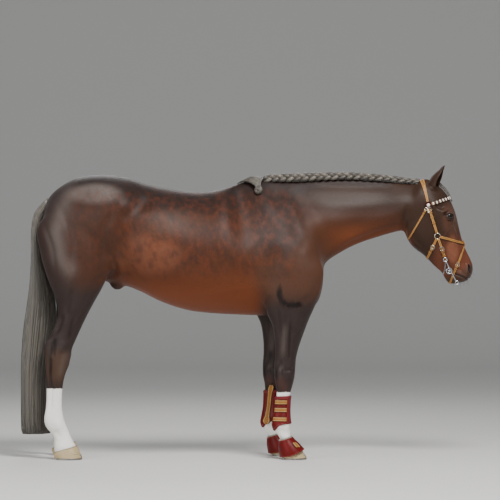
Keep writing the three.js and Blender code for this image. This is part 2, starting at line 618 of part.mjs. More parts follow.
for (const [name, piece] of Object.entries(bodyParts())) add(name, piece, COAT);
const offBody = (piece) => largest(piece.subtract(clear.all).subtract(strapRoom));
for (const side of SIDES) {
  add(`ear_${side.name}`, earOf(side), COAT);
  add(`eye_${side.name}`, eyeOf(side, 0), EYE_GLOSS);
  const feet = { fore: [FORE_HOOF, side.foreBack], hind: [HIND_HOOF, side.hindBack] };
  for (const [end, [stations, back]] of Object.entries(feet)) {
    add(`hoof_${end}_${side.name}`, offBody(hoofOf(stations, side, back)), HORN);
    add(`shoe_${end}_${side.name}`, shoeOf(stations, side, back), STEEL);
  }
  for (const [name, piece] of Object.entries(bootParts(side))) {
    add(name, largest(piece), name.startsWith('leg_boot') ? RED : TAN);
  }
  add(`bell_boot_${side.name}`, bellOf(side), RED);
}
add('tail', offBody(solid(sweep(TAIL, { around: 8, along: 14 }))), HAIR);
add('forelock', offBody(solid(sweep(FORELOCK, { around: 6, along: 6 }))), HAIR);
add('mane_braid', offBody(solid(sweep(BRAID, { around: 6, along: 11 }))), HAIR);
const bun = ball(BUN.centre, BUN.radii, 0, 8);
add('mane_fan', largest(onSide(MANE_FAN, RIGHT, { around: 6, along: 6 }).subtract(clear.all)
  .subtract(ball(BUN.centre, BUN.radii.map((r) => r + GAP), 0, 8))), HAIR);
add('mane_bun', offBody(bun), HAIR);
for (const [name, piece] of Object.entries(bridleParts())) {
  add(name, piece, name.includes('ring') || name.includes('stud') ? GOLD : TAN);
}
add('bit', bitOf(), STEEL);

export default model;
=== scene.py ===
"""Looks of a standing saddle horse: one skin over the flesh, long hair as locks, tack and a plain studio."""

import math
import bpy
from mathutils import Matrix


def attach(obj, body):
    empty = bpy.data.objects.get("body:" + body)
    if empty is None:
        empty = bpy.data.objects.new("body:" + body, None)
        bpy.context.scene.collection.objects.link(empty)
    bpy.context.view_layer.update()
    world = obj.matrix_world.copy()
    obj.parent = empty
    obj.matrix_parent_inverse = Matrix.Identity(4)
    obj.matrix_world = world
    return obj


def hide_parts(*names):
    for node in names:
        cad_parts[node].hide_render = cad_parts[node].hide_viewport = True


bl_info = {
    "name": "Standing saddle horse",
    "version": (1, 0, 0),
    "blender": (4, 5, 0),
    "location": "View3D > Sidebar > Horse",
    "description": "Dresses the solids of a life-size horse with its skin, hair, hooves, bridle and boots",
    "category": "Object",
}

import bmesh
import bpy
import numpy as np
from mathutils import Vector
from mathutils.bvhtree import BVHTree

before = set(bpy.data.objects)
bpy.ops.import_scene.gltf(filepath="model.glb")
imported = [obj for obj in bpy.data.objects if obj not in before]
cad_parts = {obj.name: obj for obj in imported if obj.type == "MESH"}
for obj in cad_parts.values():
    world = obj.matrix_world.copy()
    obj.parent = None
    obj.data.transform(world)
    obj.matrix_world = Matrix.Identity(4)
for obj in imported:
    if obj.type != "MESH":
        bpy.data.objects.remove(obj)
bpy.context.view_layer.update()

MM = 0.001
RNG_SEED = 7

# ------------------------------------------------------------------ driving dimensions, in millimetres
COAT_DEPTH = 2.0
LEG_BACK = {("fore", 1): 66, ("hind", 1): 32, ("fore", -1): 0, ("hind", -1): 0}
EYE = (1181, 76, 1417)
EYE_RADIUS = 26.5
NOSTRIL = (1309, 50, 1107)

# How wide a section is at five levels from its first edge to its second, as a share of its half width.
# The last number is how boxy it is: 1 is an ellipse, less is squarer.
SHAPES = {
    "rump": (0.75, 0.98, 1.0, 0.9, 0.8, 0.86),
    "croup": (0.95, 1.04, 1.0, 0.9, 0.75, 0.86),
    "loin": (0.82, 0.96, 1.0, 0.98, 0.85, 0.9),
    "barrel": (0.7, 0.9, 1.0, 1.02, 0.86, 0.92),
    "withers": (0.3, 0.66, 0.95, 1.0, 0.85, 0.92),
    "breast": (0.24, 0.6, 0.92, 1.04, 0.95, 0.88),
    "neck": (0.28, 0.62, 0.92, 1.04, 0.92, 0.95),
    "throat": (0.4, 0.78, 1.0, 1.02, 0.9, 0.92),
    "poll": (0.75, 0.98, 1.0, 0.95, 0.8, 0.85),
    "brow": (0.72, 1.06, 0.97, 0.87, 0.62, 0.8),
    "cheek": (0.6, 0.99, 1.0, 0.93, 0.6, 0.8),
    "nose": (0.56, 0.9, 1.04, 0.86, 0.6, 0.82),
    "muzzle": (0.62, 0.96, 0.98, 0.86, 0.72, 0.82),
    "limb": (0.9, 1.0, 1.0, 0.95, 0.85, 0.92),
    "thigh": (0.7, 0.95, 1.0, 0.95, 0.75, 0.86),
    "hock": (0.95, 1.05, 1.0, 0.72, 0.62, 0.86),
    "knee": (1.0, 1.05, 1.0, 0.85, 0.75, 0.8),
    "cannon": (1.0, 1.06, 0.82, 0.78, 0.8, 0.9),
    "round": (1, 1, 1, 1, 1, 1),
}
TRUNK = [
    ((-1196, 1440), (-1204, 1300), 96, "rump", 0),
    ((-1162, 1536), (-1190, 1200), 150, "rump", 0),
    ((-1082, 1606), (-1125, 1110), 200, "rump", 0),
    ((-985, 1650), (-1015, 1066), 238, "croup", 0),
    ((-854, 1665), (-888, 1040), 266, "croup", 0),
    ((-722, 1652), (-770, 1024), 279, "croup", 0),
    ((-610, 1618), (-640, 980), 284, "loin", 0),
    ((-478, 1587), (-510, 916), 292, "loin", 0),
    ((-345, 1566), (-360, 866), 302, "barrel", 0),
    ((-236, 1567), (-210, 846), 300, "barrel", 0),
    ((-142, 1584), (-60, 838), 288, "barrel", 0),
    ((-65, 1610), (80, 833), 266, "withers", 0),
    ((10, 1636), (210, 838), 246, "withers", 0),
    ((75, 1642), (330, 856), 232, "withers", 0),
    ((140, 1636), (410, 902), 222, "breast", 0),
    ((205, 1630), (444, 995), 206, "breast", 0),
    ((280, 1630), (450, 1078), 184, "breast", 0),
    ((360, 1635), (458, 1136), 158, "neck", 0),
    ((455, 1642), (530, 1190), 131, "neck", 0),
    ((610, 1645), (650, 1252), 107, "neck", 0),
    ((798, 1633), (800, 1302), 93, "neck", 0),
    ((925, 1620), (895, 1328), 88, "throat", 0),
    ((1005, 1612), (955, 1345), 82, "throat", 0),
    ((1050, 1590), (1010, 1400), 60, "throat", 0),
]
HEAD = [
    ((990, 1600), (945, 1450), 48, "poll", 0),
    ((1022, 1634), (925, 1388), 76, "poll", 0),
    ((1066, 1638), (924, 1334), 88, "poll", 0),
    ((1122, 1604), (939, 1284), 97, "brow", 0),
    ((1170, 1556), (968, 1239), 104, "brow", 0),
    ((1206, 1494), (1006, 1210), 107, "brow", 0),
    ((1229, 1434), (1040, 1186), 100, "brow", 0),
    ((1243, 1376), (1070, 1156), 86, "cheek", 0),
    ((1256, 1320), (1096, 1128), 73, "cheek", 0),
    ((1272, 1266), (1121, 1106), 63, "nose", 0),
    ((1293, 1215), (1143, 1086), 57, "nose", 0),
    ((1314, 1172), (1156, 1064), 56, "muzzle", 0),
    ((1328, 1136), (1170, 1044), 58, "muzzle", 0),
    ((1330, 1100), (1190, 1030), 57, "muzzle", 0),
    ((1318, 1064), (1218, 1024), 49, "muzzle", 0),
    ((1296, 1040), (1250, 1026), 30, "muzzle", 0),
]
FORE_LEG = [
    ((290, 1330), (110, 1370), 46, "limb", 128),
    ((388, 1215), (80, 1250), 80, "limb", 148),
    ((442, 1110), (72, 1130), 94, "limb", 156),
    ((440, 1010), (84, 1010), 92, "limb", 158),
    ((416, 928), (100, 918), 86, "limb", 158),
    ((388, 866), (114, 844), 77, "limb", 157),
    ((358, 800), (140, 790), 68, "limb", 156),
    ((333, 734), (154, 728), 60, "limb", 154),
    ((306, 660), (161, 655), 51, "limb", 152),
    ((289, 592), (160, 590), 47, "limb", 151),
    ((284, 536), (156, 530), 50, "knee", 150),
    ((279, 480), (158, 474), 49, "knee", 150),
    ((267, 428), (168, 422), 40, "knee", 150),
    ((252, 372), (169, 368), 33, "cannon", 150),
    ((247, 300), (166, 294), 31, "cannon", 150),
    ((248, 246), (157, 240), 37, "cannon", 150),
    ((252, 208), (151, 194), 42, "limb", 150),
    ((253, 170), (172, 150), 37, "limb", 150),
    ((257, 134), (194, 112), 37, "limb", 150),
    ((277, 104), (197, 82), 48, "round", 150),
    ((297, 84), (198, 56), 55, "round", 150),
    ((299, 70), (202, 44), 52, "round", 150),
]
HIND_LEG = [
    ((-880, 1500), (-1060, 1500), 60, "thigh", 110),
    ((-810, 1420), (-1170, 1430), 104, "thigh", 124),
    ((-775, 1330), (-1229, 1345), 126, "thigh", 134),
    ((-776, 1220), (-1214, 1220), 132, "thigh", 144),
    ((-792, 1112), (-1182, 1098), 120, "thigh", 155),
    ((-832, 1012), (-1146, 1000), 99, "thigh", 163),
    ((-880, 926), (-1114, 928), 79, "limb", 166),
    ((-925, 842), (-1106, 856), 64, "limb", 166),
    ((-962, 766), (-1122, 786), 53, "limb", 166),
    ((-994, 698), (-1156, 710), 46, "hock", 166),
    ((-1018, 642), (-1180, 656), 48, "hock", 166),
    ((-1032, 590), (-1182, 598), 47, "hock", 166),
    ((-1046, 528), (-1177, 530), 41, "hock", 166),
    ((-1066, 455), (-1172, 455), 33, "cannon", 166),
    ((-1075, 380), (-1171, 378), 30, "cannon", 166),
    ((-1076, 310), (-1174, 304), 30, "cannon", 166),
    ((-1067, 246), (-1184, 236), 39, "limb", 166),
    ((-1054, 206), (-1172, 188), 41, "limb", 166),
    ((-1038, 168), (-1136, 146), 35, "limb", 166),
    ((-1022, 130), (-1124, 106), 38, "limb", 166),
    ((-1006, 98), (-1126, 78), 49, "round", 166),
    ((-995, 80), (-1124, 46), 55, "round", 166),
    ((-993, 66), (-1122, 30), 52, "round", 166),
]
FORE_HOOF = [
    ((302, 86), (196, 50), 59, "round", 150),
    ((320, 58), (196, 34), 63, "round", 150),
    ((346, 9.5), (202, 9.5), 68, "round", 150),
]
HIND_HOOF = [
    ((-991, 82), (-1128, 43), 57, "round", 166),
    ((-977, 56), (-1130, 27), 61, "round", 166),
    ((-962, 9.5), (-1122, 9.5), 65, "round", 166),
]
BELL = [
    ((260, 150), (184, 126), 46, "round", 150),
    ((269, 128), (183, 104), 54, "round", 150),
    ((306, 92), (182, 70), 69, "round", 150),
    ((338, 56), (186, 38), 79, "round", 150),
    ((354, 32), (192, 12), 82, "round", 150),
]
TAIL = [
    ((-1176, 1530), (-1150, 1490), 26, "round", 0),
    ((-1213, 1492), (-1168, 1440), 40, "round", 0),
    ((-1254, 1436), (-1196, 1400), 48, "round", 0),
    ((-1271, 1340), (-1206, 1320), 52, "round", 0),
    ((-1272, 1210), (-1196, 1205), 60, "round", 0),
    ((-1276, 1080), (-1166, 1078), 72, "round", 0),
    ((-1293, 920), (-1128, 920), 84, "round", 0),
    ((-1318, 760), (-1122, 760), 92, "round", 0),
    ((-1331, 580), (-1142, 580), 94, "round", 0),
    ((-1332, 400), (-1158, 400), 90, "round", 0),
    ((-1332, 230), (-1160, 230), 84, "round", 0),
    ((-1328, 150), (-1152, 152), 74, "round", 0),
    ((-1310, 134), (-1176, 138), 46, "round", 0),
]
BRAID = [
    ((98, 1662), (94, 1612), 8, "round", -16),
    ((122, 1668), (120, 1612), 21, "round", -14),
    ((160, 1672), (160, 1614), 25, "round", -12),
    ((300, 1678), (300, 1618), 27, "round", -12),
    ((455, 1682), (455, 1624), 26, "round", -12),
    ((610, 1683), (610, 1630), 25, "round", -12),
    ((798, 1668), (798, 1622), 21, "round", -12),
    ((925, 1650), (925, 1612), 16, "round", -12),
    ((1000, 1643), (1000, 1610), 12, "round", -12),
    ((1016, 1640), (1016, 1614), 5, "round", -12),
]
SHEATH = {"at": (-768, 0, 1012), "radii": (44, 33, 30), "tilt": 0.3}

# ------------------------------------------------------------------ curves and surfaces on grids
def cubic(a, b, c, d, f):
    """Between b and c, the curve through four neighbours at f from 0 to 1: a Catmull-Rom cubic."""
    return 0.5 * (2 * b + (c - a) * f + (2 * a - 5 * b + 4 * c - d) * f**2 + (3 * b - a - 3 * c + d) * f**3)


def spline(rows, steps):
    """A smooth curve through a list of numbers or points, read at steps along it."""
    rows = np.asarray(rows, float)
    steps = np.asarray(steps, float)
    i = np.clip(np.floor(steps).astype(int), 0, len(rows) - 2)
    f = (steps - i).reshape(steps.shape + (1,) * (rows.ndim - 1))
    a, b, c, d = (rows[np.clip(i + k, 0, len(rows) - 1)] for k in (-1, 0, 1, 2))
    return cubic(a, b, c, d, f)


def smooth(low, high, x):
    """0 below low, 1 above high, and 3t^2 - 2t^3 between them."""
    t = np.clip((x - low) / (high - low), 0, 1)
    return t * t * (3 - 2 * t)


def swell(x, middle, reach):
    """e to the -((x - middle) / reach)^2: 1 at the middle, fading to both sides."""
    return np.exp(-(((x - middle) / reach) ** 2))


def boxed(v, power):
    """v raised to a power with its sign kept: on a circle's cosine and sine, a power below 1 squares it."""
    return np.sign(v) * np.abs(v) ** power


def angles(count):
    """That many angles, evenly round a circle from 0."""
    return np.arange(count) * 2 * np.pi / count


def unit(v):
    v = np.asarray(v, float)
    return v / np.maximum(np.linalg.norm(v, axis=-1, keepdims=True), 1e-12)


def square_to(v, axis):
    """The unit direction nearest to v that stands square to an axis."""
    return unit(v - axis * (v @ axis))


def section(stations, steps, angle, grow=0.0):
    """Points of a body, in metres, at steps along its stations and at angles round its section.

    The level is (1 - cos angle) / 2, from 0 at the first edge to 1 at the second. The point lies that far
    between the edges, and its y is out plus or minus (half + grow) times |sin angle| to the power boxy times
    the share of the width at that level.
    """
    first = spline([row[0] for row in stations], steps)
    second = spline([row[1] for row in stations], steps)
    half = spline([row[2] for row in stations], steps)
    share = spline([SHAPES[row[3]] for row in stations], steps)
    out = spline([row[4] for row in stations], steps)
    reach = first - second
    reach *= np.broadcast_to(grow, steps.shape)[..., None] / np.linalg.norm(reach, axis=-1, keepdims=True)
    level = (1 - np.cos(angle)) / 2
    i = np.clip(np.floor(4 * level).astype(int), 0, 3)
    f = 4 * level - i
    a, b, c, d = (
        np.take_along_axis(share[..., :5], np.clip(i + k, 0, 4)[..., None], -1)[..., 0]
        for k in (-1, 0, 1, 2)
    )
    y = out + boxed(np.sin(angle), share[..., 5]) * (half + grow) * cubic(a, b, c, d, f)
    flat = (first + reach) * (1 - level)[..., None] + (second - reach) * level[..., None]
    return np.stack([flat[..., 0], y, flat[..., 1]], -1) * MM


def band(rows, columns, closed=True):
    """The four-cornered faces between neighbouring rows of a grid, going round it if it is closed."""
    i, j = np.meshgrid(np.arange(rows - 1), np.arange(columns if closed else columns - 1), indexing="ij")
    k = (j + 1) % columns
    corners = (i * columns + j, (i + 1) * columns + j, (i + 1) * columns + k, i * columns + k)
    return np.stack(corners, -1).reshape(-1, 4)


def capped(grid):
    """A closed body from a grid whose columns go round: its bands, and a fan to a pole at each end."""
    rows, columns = grid.shape[:2]
    points = np.concatenate([grid.reshape(-1, 3), grid[[0, -1]].mean(axis=1)])
    j = np.arange(columns)
    k = (j + 1) % columns
    last, pole = (rows - 1) * columns, rows * columns
    start = np.stack([np.full(columns, pole), j, k], -1)
    end = np.stack([np.full(columns, pole + 1), last + k, last + j], -1)
    return points, band(rows, columns), np.concatenate([start, end])


def mirrored(grid, side, back):
    """A grid drawn on the left, moved back by that many millimetres and, where side is -1, to the right."""
    grid[..., 1] *= side
    grid[..., 0] -= back * MM
    return grid


def rings_of(stations, around, along):
    """Even steps along a body's stations and even angles round it, as two grids."""
    steps = np.linspace(0, len(stations) - 1, along)[:, None] * np.ones(around)
    return steps, angles(around) * np.ones((along, 1))


def shell(stations, around, along, grow=0.0, side=1, back=0.0):
    """The closed body swept through stations."""
    return capped(mirrored(section(stations, *rings_of(stations, around, along), grow), side, back))


def ball(centre, radii, around=32, tilt=0.0):
    """An ellipsoid: rows of latitude about Y, turned about Y by the tilt."""
    lat = np.linspace(0.02, np.pi - 0.02, around // 2)[:, None]
    lon = angles(around)
    x = np.sin(lat) * np.cos(lon) * radii[0]
    z = np.sin(lat) * np.sin(lon) * radii[2]
    y = np.cos(lat) * np.ones(around) * radii[1]
    c, s = math.cos(tilt), math.sin(tilt)
    grid = np.stack([centre[0] + c * x + s * z, centre[1] + y, centre[2] - s * x + c * z], -1) * MM
    return capped(grid)


# ------------------------------------------------------------------ meshes
def joined(shapes):
    """Several shapes as one: all their points, and each one's faces moved on by the points before it."""
    points, quads, tris = [], [], []
    count = 0
    for p, q, t in shapes:
        points.append(p)
        quads.append(np.asarray(q, int).reshape(-1, 4) + count)
        tris.append(np.asarray(t, int).reshape(-1, 3) + count)
        count += len(p)
    return np.concatenate(points), np.concatenate(quads), np.concatenate(tris)


def outward(shape):
    """The shape with its faces turned the other way if the volume that they enclose is negative."""
    points, quads, tris = shape
    corners = np.concatenate([quads[:, [0, 1, 2]], quads[:, [0, 2, 3]], tris]).astype(int)
    a, b, c = (points[corners[:, k]] for k in range(3))
    if np.einsum("ij,ij->i", a, np.cross(b, c)).sum() < 0:
        return points, quads[:, ::-1], tris[:, ::-1]
    return shape


def mesh_of(name, shape):
    points, quads, tris = shape
    mesh = bpy.data.meshes.new(name)
    mesh.vertices.add(len(points))
    mesh.vertices.foreach_set("co", np.asarray(points, np.float32).ravel())
    loops = np.concatenate([np.asarray(quads).ravel(), np.asarray(tris).ravel()]).astype(np.int32)
    mesh.loops.add(len(loops))
    mesh.loops.foreach_set("vertex_index", loops)
    starts = np.concatenate([np.arange(len(quads)) * 4, len(quads) * 4 + np.arange(len(tris)) * 3])
    mesh.polygons.add(len(starts))
    mesh.polygons.foreach_set("loop_start", starts.astype(np.int32))
    mesh.update(calc_edges=True)
    mesh.validate()
    mesh.shade_smooth()
    return mesh


def linked(name, data):
    """An object made of the data, in the scene."""
    piece = bpy.data.objects.new(name, data)
    bpy.context.scene.collection.objects.link(piece)
    return piece


def read(data, field, shape, kind=np.float32):
    """One field of every item of a list in Blender, as an array of that shape."""
    out = np.empty(len(data) * abs(math.prod(shape)), kind)
    data.foreach_get(field, out)
    return out.reshape(shape)


def points_of(mesh):
    return read(mesh.vertices, "co", (-1, 3)).astype(float)


def normals_of(mesh):
    return read(mesh.vertex_normals, "vector", (-1, 3)).astype(float)


def edges_of(mesh):
    return read(mesh.edges, "vertices", (-1, 2), np.int32)


def corner_vertices(mesh):
    return read(mesh.loops, "vertex_index", (-1,), np.int32)


def corner_totals(mesh):
    """How many corners each face has."""
    return read(mesh.polygons, "loop_total", (-1,), np.int32)


def moved(mesh, points):
    mesh.vertices.foreach_set("co", points.astype(np.float32).ravel())
    mesh.update()


def relax(points, edges, weight, rounds):
    """Moves each point towards the mean of its neighbours, by its weight, again and again."""
    count = len(points)
    degree = np.maximum(np.bincount(edges.ravel(), minlength=count), 1)
    a, b = edges.T
    for _ in range(rounds):
        mean = np.stack(
            [
                np.bincount(a, points[b, k], count) + np.bincount(b, points[a, k], count)
                for k in range(3)
            ],
            -1,
        )
        points = points + weight[:, None] * (mean / degree[:, None] - points)
    return points


def evaluated(mesh, kind, chosen=(), **settings):
    """The mesh after one modifier; the points chosen are the vertex group of that name."""
    piece = linked("evaluated", mesh)
    piece.vertex_groups.clear()
    piece.vertex_groups.new(name="chosen").add(np.nonzero(chosen)[0].tolist(), 1.0, "REPLACE")
    modifier = piece.modifiers.new(kind, kind)
    for key, value in settings.items():
        setattr(modifier, key, value)
    graph = bpy.context.evaluated_depsgraph_get()
    result = bpy.data.meshes.new_from_object(piece.evaluated_get(graph))
    bpy.data.objects.remove(piece)
    return result


def subdivided(mesh, chosen):
    """The mesh with every edge whose two ends are chosen cut in half, and its faces split to match."""
    mesh.edges.foreach_set("select", chosen[edges_of(mesh)].all(axis=1))
    work = bmesh.new()
    work.from_mesh(mesh)
    cut = [edge for edge in work.edges if edge.select]
    bmesh.ops.subdivide_edges(work, edges=cut, cuts=1, use_grid_fill=True)
    work.to_mesh(mesh)
    work.free()
    return mesh


# ------------------------------------------------------------------ the skin
SKIN_GRID = 0.005
# Muscle, bone and vein under the skin. Each form is the part of the body it belongs to, how far it lifts the
# surface, how far it reaches, and its line. A line of [x, z] is seen from the side and shows where the skin
# faces outwards; one of [x, y, z] lies in space, on both sides alike. All are in millimetres.
BOLDNESS = {"body": 1.25, "fore": 1.35, "hind": 1.35, "head": 1.1}  # how much each region's forms are raised
RELIEF = [
    ("body", 4, 70, ((-735, 250, 1540), (-700, 262, 1500))),
    ("body", 5, 70, ((432, 150, 1150), (425, 170, 1100))),
    ("body", 10, 60, ((80, 120, 1560), (330, 200, 1230))),
    ("body", -10, 60, ((330, 90, 1560), (470, 130, 1260))),
    ("body", -16, 80, ((-690, 240, 1330), (-740, 230, 1180))),
    ("body", 4, 36, ((206, 1560), (262, 1440), (330, 1290))),
    ("body", -3, 34, ((262, 1560), (330, 1430), (384, 1300))),
    ("body", -3, 34, ((120, 1530), (180, 1400), (270, 1270))),
    ("body", -3, 26, ((345, 1290), (300, 1190), (302, 1090), (346, 1010))),
    ("body", 8, 60, ((190, 1240), (200, 1130))),
    ("body", -3, 24, ((80, 1290), (40, 1190), (44, 1080), (90, 1000))),
    ("body", 9, 26, ((112, 1010), (120, 970))),
    ("body", -4, 18, ((420, 1020), (370, 950), (300, 905))),
    ("body", 6, 40, ((950, 1430), (720, 1360), (500, 1230))),
    ("body", -5, 17, ((900, 1372), (760, 1322), (600, 1262), (510, 1200))),
    ("body", -5, 26, ((340, 1590), (560, 1590), (860, 1588))),
    ("body", 1.4, 34, ((340, 1500), (500, 1498), (700, 1504), (860, 1516), (980, 1530))),
    ("body", -1.6, 30, ((380, 1440), (560, 1436), (720, 1446), (860, 1468), (960, 1490))),
    ("body", 3, 40, ((-715, 1536), (-742, 1500))),
    ("body", -10, 44, ((-600, 1490), (-690, 1420))),
    ("body", 7, 18, ((-770, 1210), (-742, 1120), (-722, 1050))),
    ("body", -6, 22, ((-1120, 1520), (-1046, 1390), (-1010, 1240), (-1026, 1080), (-1070, 1000))),
    ("body", -5, 16, ((-1190, 1400), (-1130, 1230), (-1110, 1080))),
    ("body", -5, 26, ((-760, 1480), (-830, 1330), (-830, 1180))),
    ("body", 9, 34, ((-812, 1150), (-806, 1110))),
    ("body", -6, 20, ((-770, 1090), (-860, 1050))),
    ("body", 1.0, 5, ((60, 1010), (-80, 985), (-260, 962), (-420, 985))),
    ("body", -9, 34, ((20, 0, 1700), (200, 0, 1700))),
    ("fore", -4, 9, ((240, 900), (226, 800), (216, 700), (214, 640))),
    ("fore", 5, 26, ((300, 880), (280, 780))),
    ("fore", -4, 12, ((170, 900), (184, 800), (190, 700))),
    ("fore", 2.4, 4.5, ((330, 860), (300, 780), (262, 690), (256, 620))),
    ("fore", 3, 15, ((168, 556), (164, 530))),
    ("fore", -4, 8, ((250, 800), (247, 700), (244, 610))),
    ("fore", -4, 10, ((196, 600), (192, 530), (200, 470))),
    ("fore", 4, 16, ((250, 576), (252, 545))),
    ("fore", 3, 13, ((246, 502), (246, 480))),
    ("fore", -2.5, 8, ((270, 524), (216, 520))),
    ("fore", -5, 7.5, ((222, 460), (219, 380), (219, 300), (224, 240))),
    ("fore", -3, 5, ((198, 440), (196, 360), (196, 290))),
    ("fore", 4, 13, ((178, 214), (182, 196))),
    ("fore", 4, 20, ((232, 218), (238, 200))),
    ("fore", -3, 12, ((206, 168), (226, 150))),
    ("hind", -5, 14, ((-1010, 1000), (-1040, 900), (-1056, 820))),
    ("hind", 5, 30, ((-950, 980), (-990, 880))),
    ("hind", -11, 17, ((-1072, 850), (-1096, 780), (-1112, 735))),
    ("hind", 2.2, 5, ((-900, 960), (-970, 850), (-1020, 760), (-1044, 700))),
    ("hind", 6, 14, ((-1168, 722), (-1164, 690))),
    ("hind", 5, 18, ((-1062, 668), (-1070, 640))),
    ("hind", -6, 13, ((-1120, 700), (-1130, 640), (-1128, 590))),
    ("hind", 4, 16, ((-1068, 600), (-1074, 570))),
    ("hind", -5, 7.5, ((-1140, 594), (-1146, 479), (-1139, 415), (-1141, 300), (-1152, 255))),
    ("hind", -2.5, 5, ((-1112, 500), (-1114, 400), (-1112, 300))),
    ("hind", 5, 30, ((-1030, 166, 600), (-1043, 166, 556))),
    ("hind", 5, 20, ((-1180, 166, 674), (-1184, 166, 652))),
    ("hind", 4, 20, ((-1098, 216), (-1092, 196))),
    ("hind", -3, 12, ((-1110, 160), (-1090, 140))),
    ("head", 7, 60, ((985, 85, 1330), (1040, 85, 1270))),
    ("head", 13, 36, ((1160, 88, 1432), (1194, 80, 1420))),
    ("head", -9, 17, ((1118, 1474), (1140, 1468))),
    ("head", 5, 13, ((1176, 1456), (1140, 1442), (1096, 1470), (1080, 1500))),
    ("head", 6, 11, ((1196, 1372), (1216, 1320), (1226, 1276))),
    ("head", -4, 15, ((1180, 1320), (1196, 1262))),
    ("head", 5, 13, ((962, 1440), (946, 1372), (954, 1308), (986, 1256), (1030, 1218), (1080, 1186))),
    ("head", -7, 14, ((938, 1480), (922, 1400), (924, 1320), (950, 1262))),
    ("head", -3.5, 12, ((1098, 1420), (1120, 1340), (1108, 1262), (1076, 1222))),
    ("head", 2.0, 4, ((1058, 1206), (1098, 1250), (1150, 1300), (1196, 1350), (1206, 1384))),
    ("head", 1.5, 3.5, ((1150, 1300), (1190, 1272), (1236, 1240), (1262, 1190))),
    ("head", -4, 12, ((1262, 1216), (1284, 1172), (1296, 1140))),
    ("head", 4, 12, ((1150, 1250), (1210, 1190), (1270, 1150))),
    ("head", 8, 22, ((1306, 44, 1128), (1300, 50, 1088))),
    ("head", 6, 26, ((1190, 15, 1035), (1200, 15, 1030))),
    ("head", -2.5, 7, ((1232, 1118), (1262, 1096), (1280, 1068))),
    ("head", -2, 4, ((1172, 1112), (1182, 1098), (1180, 1082))),
    ("head", -1.6, 3.5, ((1162, 1112), (1171, 1096), (1168, 1078))),
    ("head", 2.5, 8, ((1204, 1100), (1250, 1082), (1300, 1060))),
    ("head", 2.5, 8, ((1204, 1074), (1246, 1058), (1286, 1042))),
]
LIP_LINE = ((1186, 1094), (1214, 1082), (1250, 1068), (1284, 1056), (1312, 1046), (1345, 1034))
LIP_START = 1180  # the lips lie ahead of this x


def canonical(points, region):
    """The points in millimetres as if every leg stood where the right ones do, and their side's sign."""
    flat = points / MM
    side = np.where(flat[:, 1] < 0, -1.0, 1.0)
    if region in ("fore", "hind"):
        flat = flat + np.stack([np.where(side > 0, LEG_BACK[(region, 1)], 0), 0 * side, 0 * side], -1)
    return flat * np.stack([np.ones(len(flat)), side, np.ones(len(flat))], -1), side


def line_distance(points, line):
    """How far points lie from a line of straight pieces, in as many dimensions as the line has."""
    line = np.asarray(line, float)
    best = np.full(len(points), np.inf)
    for a, b in zip(line[:-1], line[1:]):
        along = b - a
        t = np.clip((points - a) @ along / (along @ along), 0, 1)
        best = np.minimum(best, np.linalg.norm(points - a - t[:, None] * along, axis=1))
    return best


def faded(points, ends):
    """1 along the middle of a stroke, easing to 0 at both ends; t is how far along its chord a point is."""
    chord = ends[-1] - ends[0]
    if len(ends) < 3:
        return 1.0
    t = (points - ends[0]) @ chord / (chord @ chord)
    return smooth(-0.08, 0.3, t) * smooth(1.08, 0.7, t)


REGIONS = {
    "body": lambda q: (q[:, 0] < 1000) & (q[:, 2] > 820),
    "fore": lambda q: (q[:, 0] > 60) & (q[:, 0] < 420) & (q[:, 2] < 930),
    "hind": lambda q: (q[:, 0] < -780) & (q[:, 2] < 1040),
    "head": lambda q: q[:, 0] > 880,
}


def lifted(points, normals):
    """Points moved along their normals by the sum of every form's lift, faded by its distance and reach."""
    total = np.zeros(len(points))
    for region in REGIONS:
        q, side = canonical(points, region)
        inside = REGIONS[region](q)
        outwards = smooth(0.1, 0.6, normals[:, 1] * side)
        if region in ("fore", "hind"):
            outwards = smooth(0.2, 0.7, np.abs(normals[:, 1]))
        for where, lift, reach, line in RELIEF:
            if where != region:
                continue
            ends = np.asarray(line, float)
            flat = q if ends.shape[1] == 3 else q[:, [0, 2]]
            low, high = ends.min(0) - 3 * reach, ends.max(0) + 3 * reach
            near = np.nonzero(inside & (flat > low).all(1) & (flat < high).all(1))[0]
            if len(near) == 0:
                continue
            bump = lift * swell(line_distance(flat[near], line), 0, reach)
            if ends.shape[1] == 2:
                bump *= outwards[near] * faded(flat[near], ends)
            total[near] += bump * BOLDNESS[region]
    return points + normals * (total * MM)[:, None]


def eye_frame(side):
    """The eye's middle and its outward, forward and upward directions: it looks out, and a little ahead."""
    out = unit((0.36, side * 0.92, 0.08))
    ahead = square_to(np.array([math.cos(0.16), 0, -math.sin(0.16)]), out)
    up = np.cross(out, ahead) * -side
    return np.array([EYE[0], side * EYE[1], EYE[2]]) * MM, out, ahead, up


LID_HALF = 27.0  # half the length of the slit between the lids
LID_TOP = 15.4  # how far the upper lid's edge stands above the corners
LID_LOW = 15.8
LID_RADIUS = 28.4  # of the ball that the lids lie on


def lid_edges(a):
    """The upper and lower lids' edges above the slit's line: a flat arch above and a deeper one below."""
    t = np.clip(1 - (a / LID_HALF) ** 2, 0, 1)
    return LID_TOP * t**0.62, -LID_LOW * t**0.8 * (1 + 0.22 * a / LID_HALF)


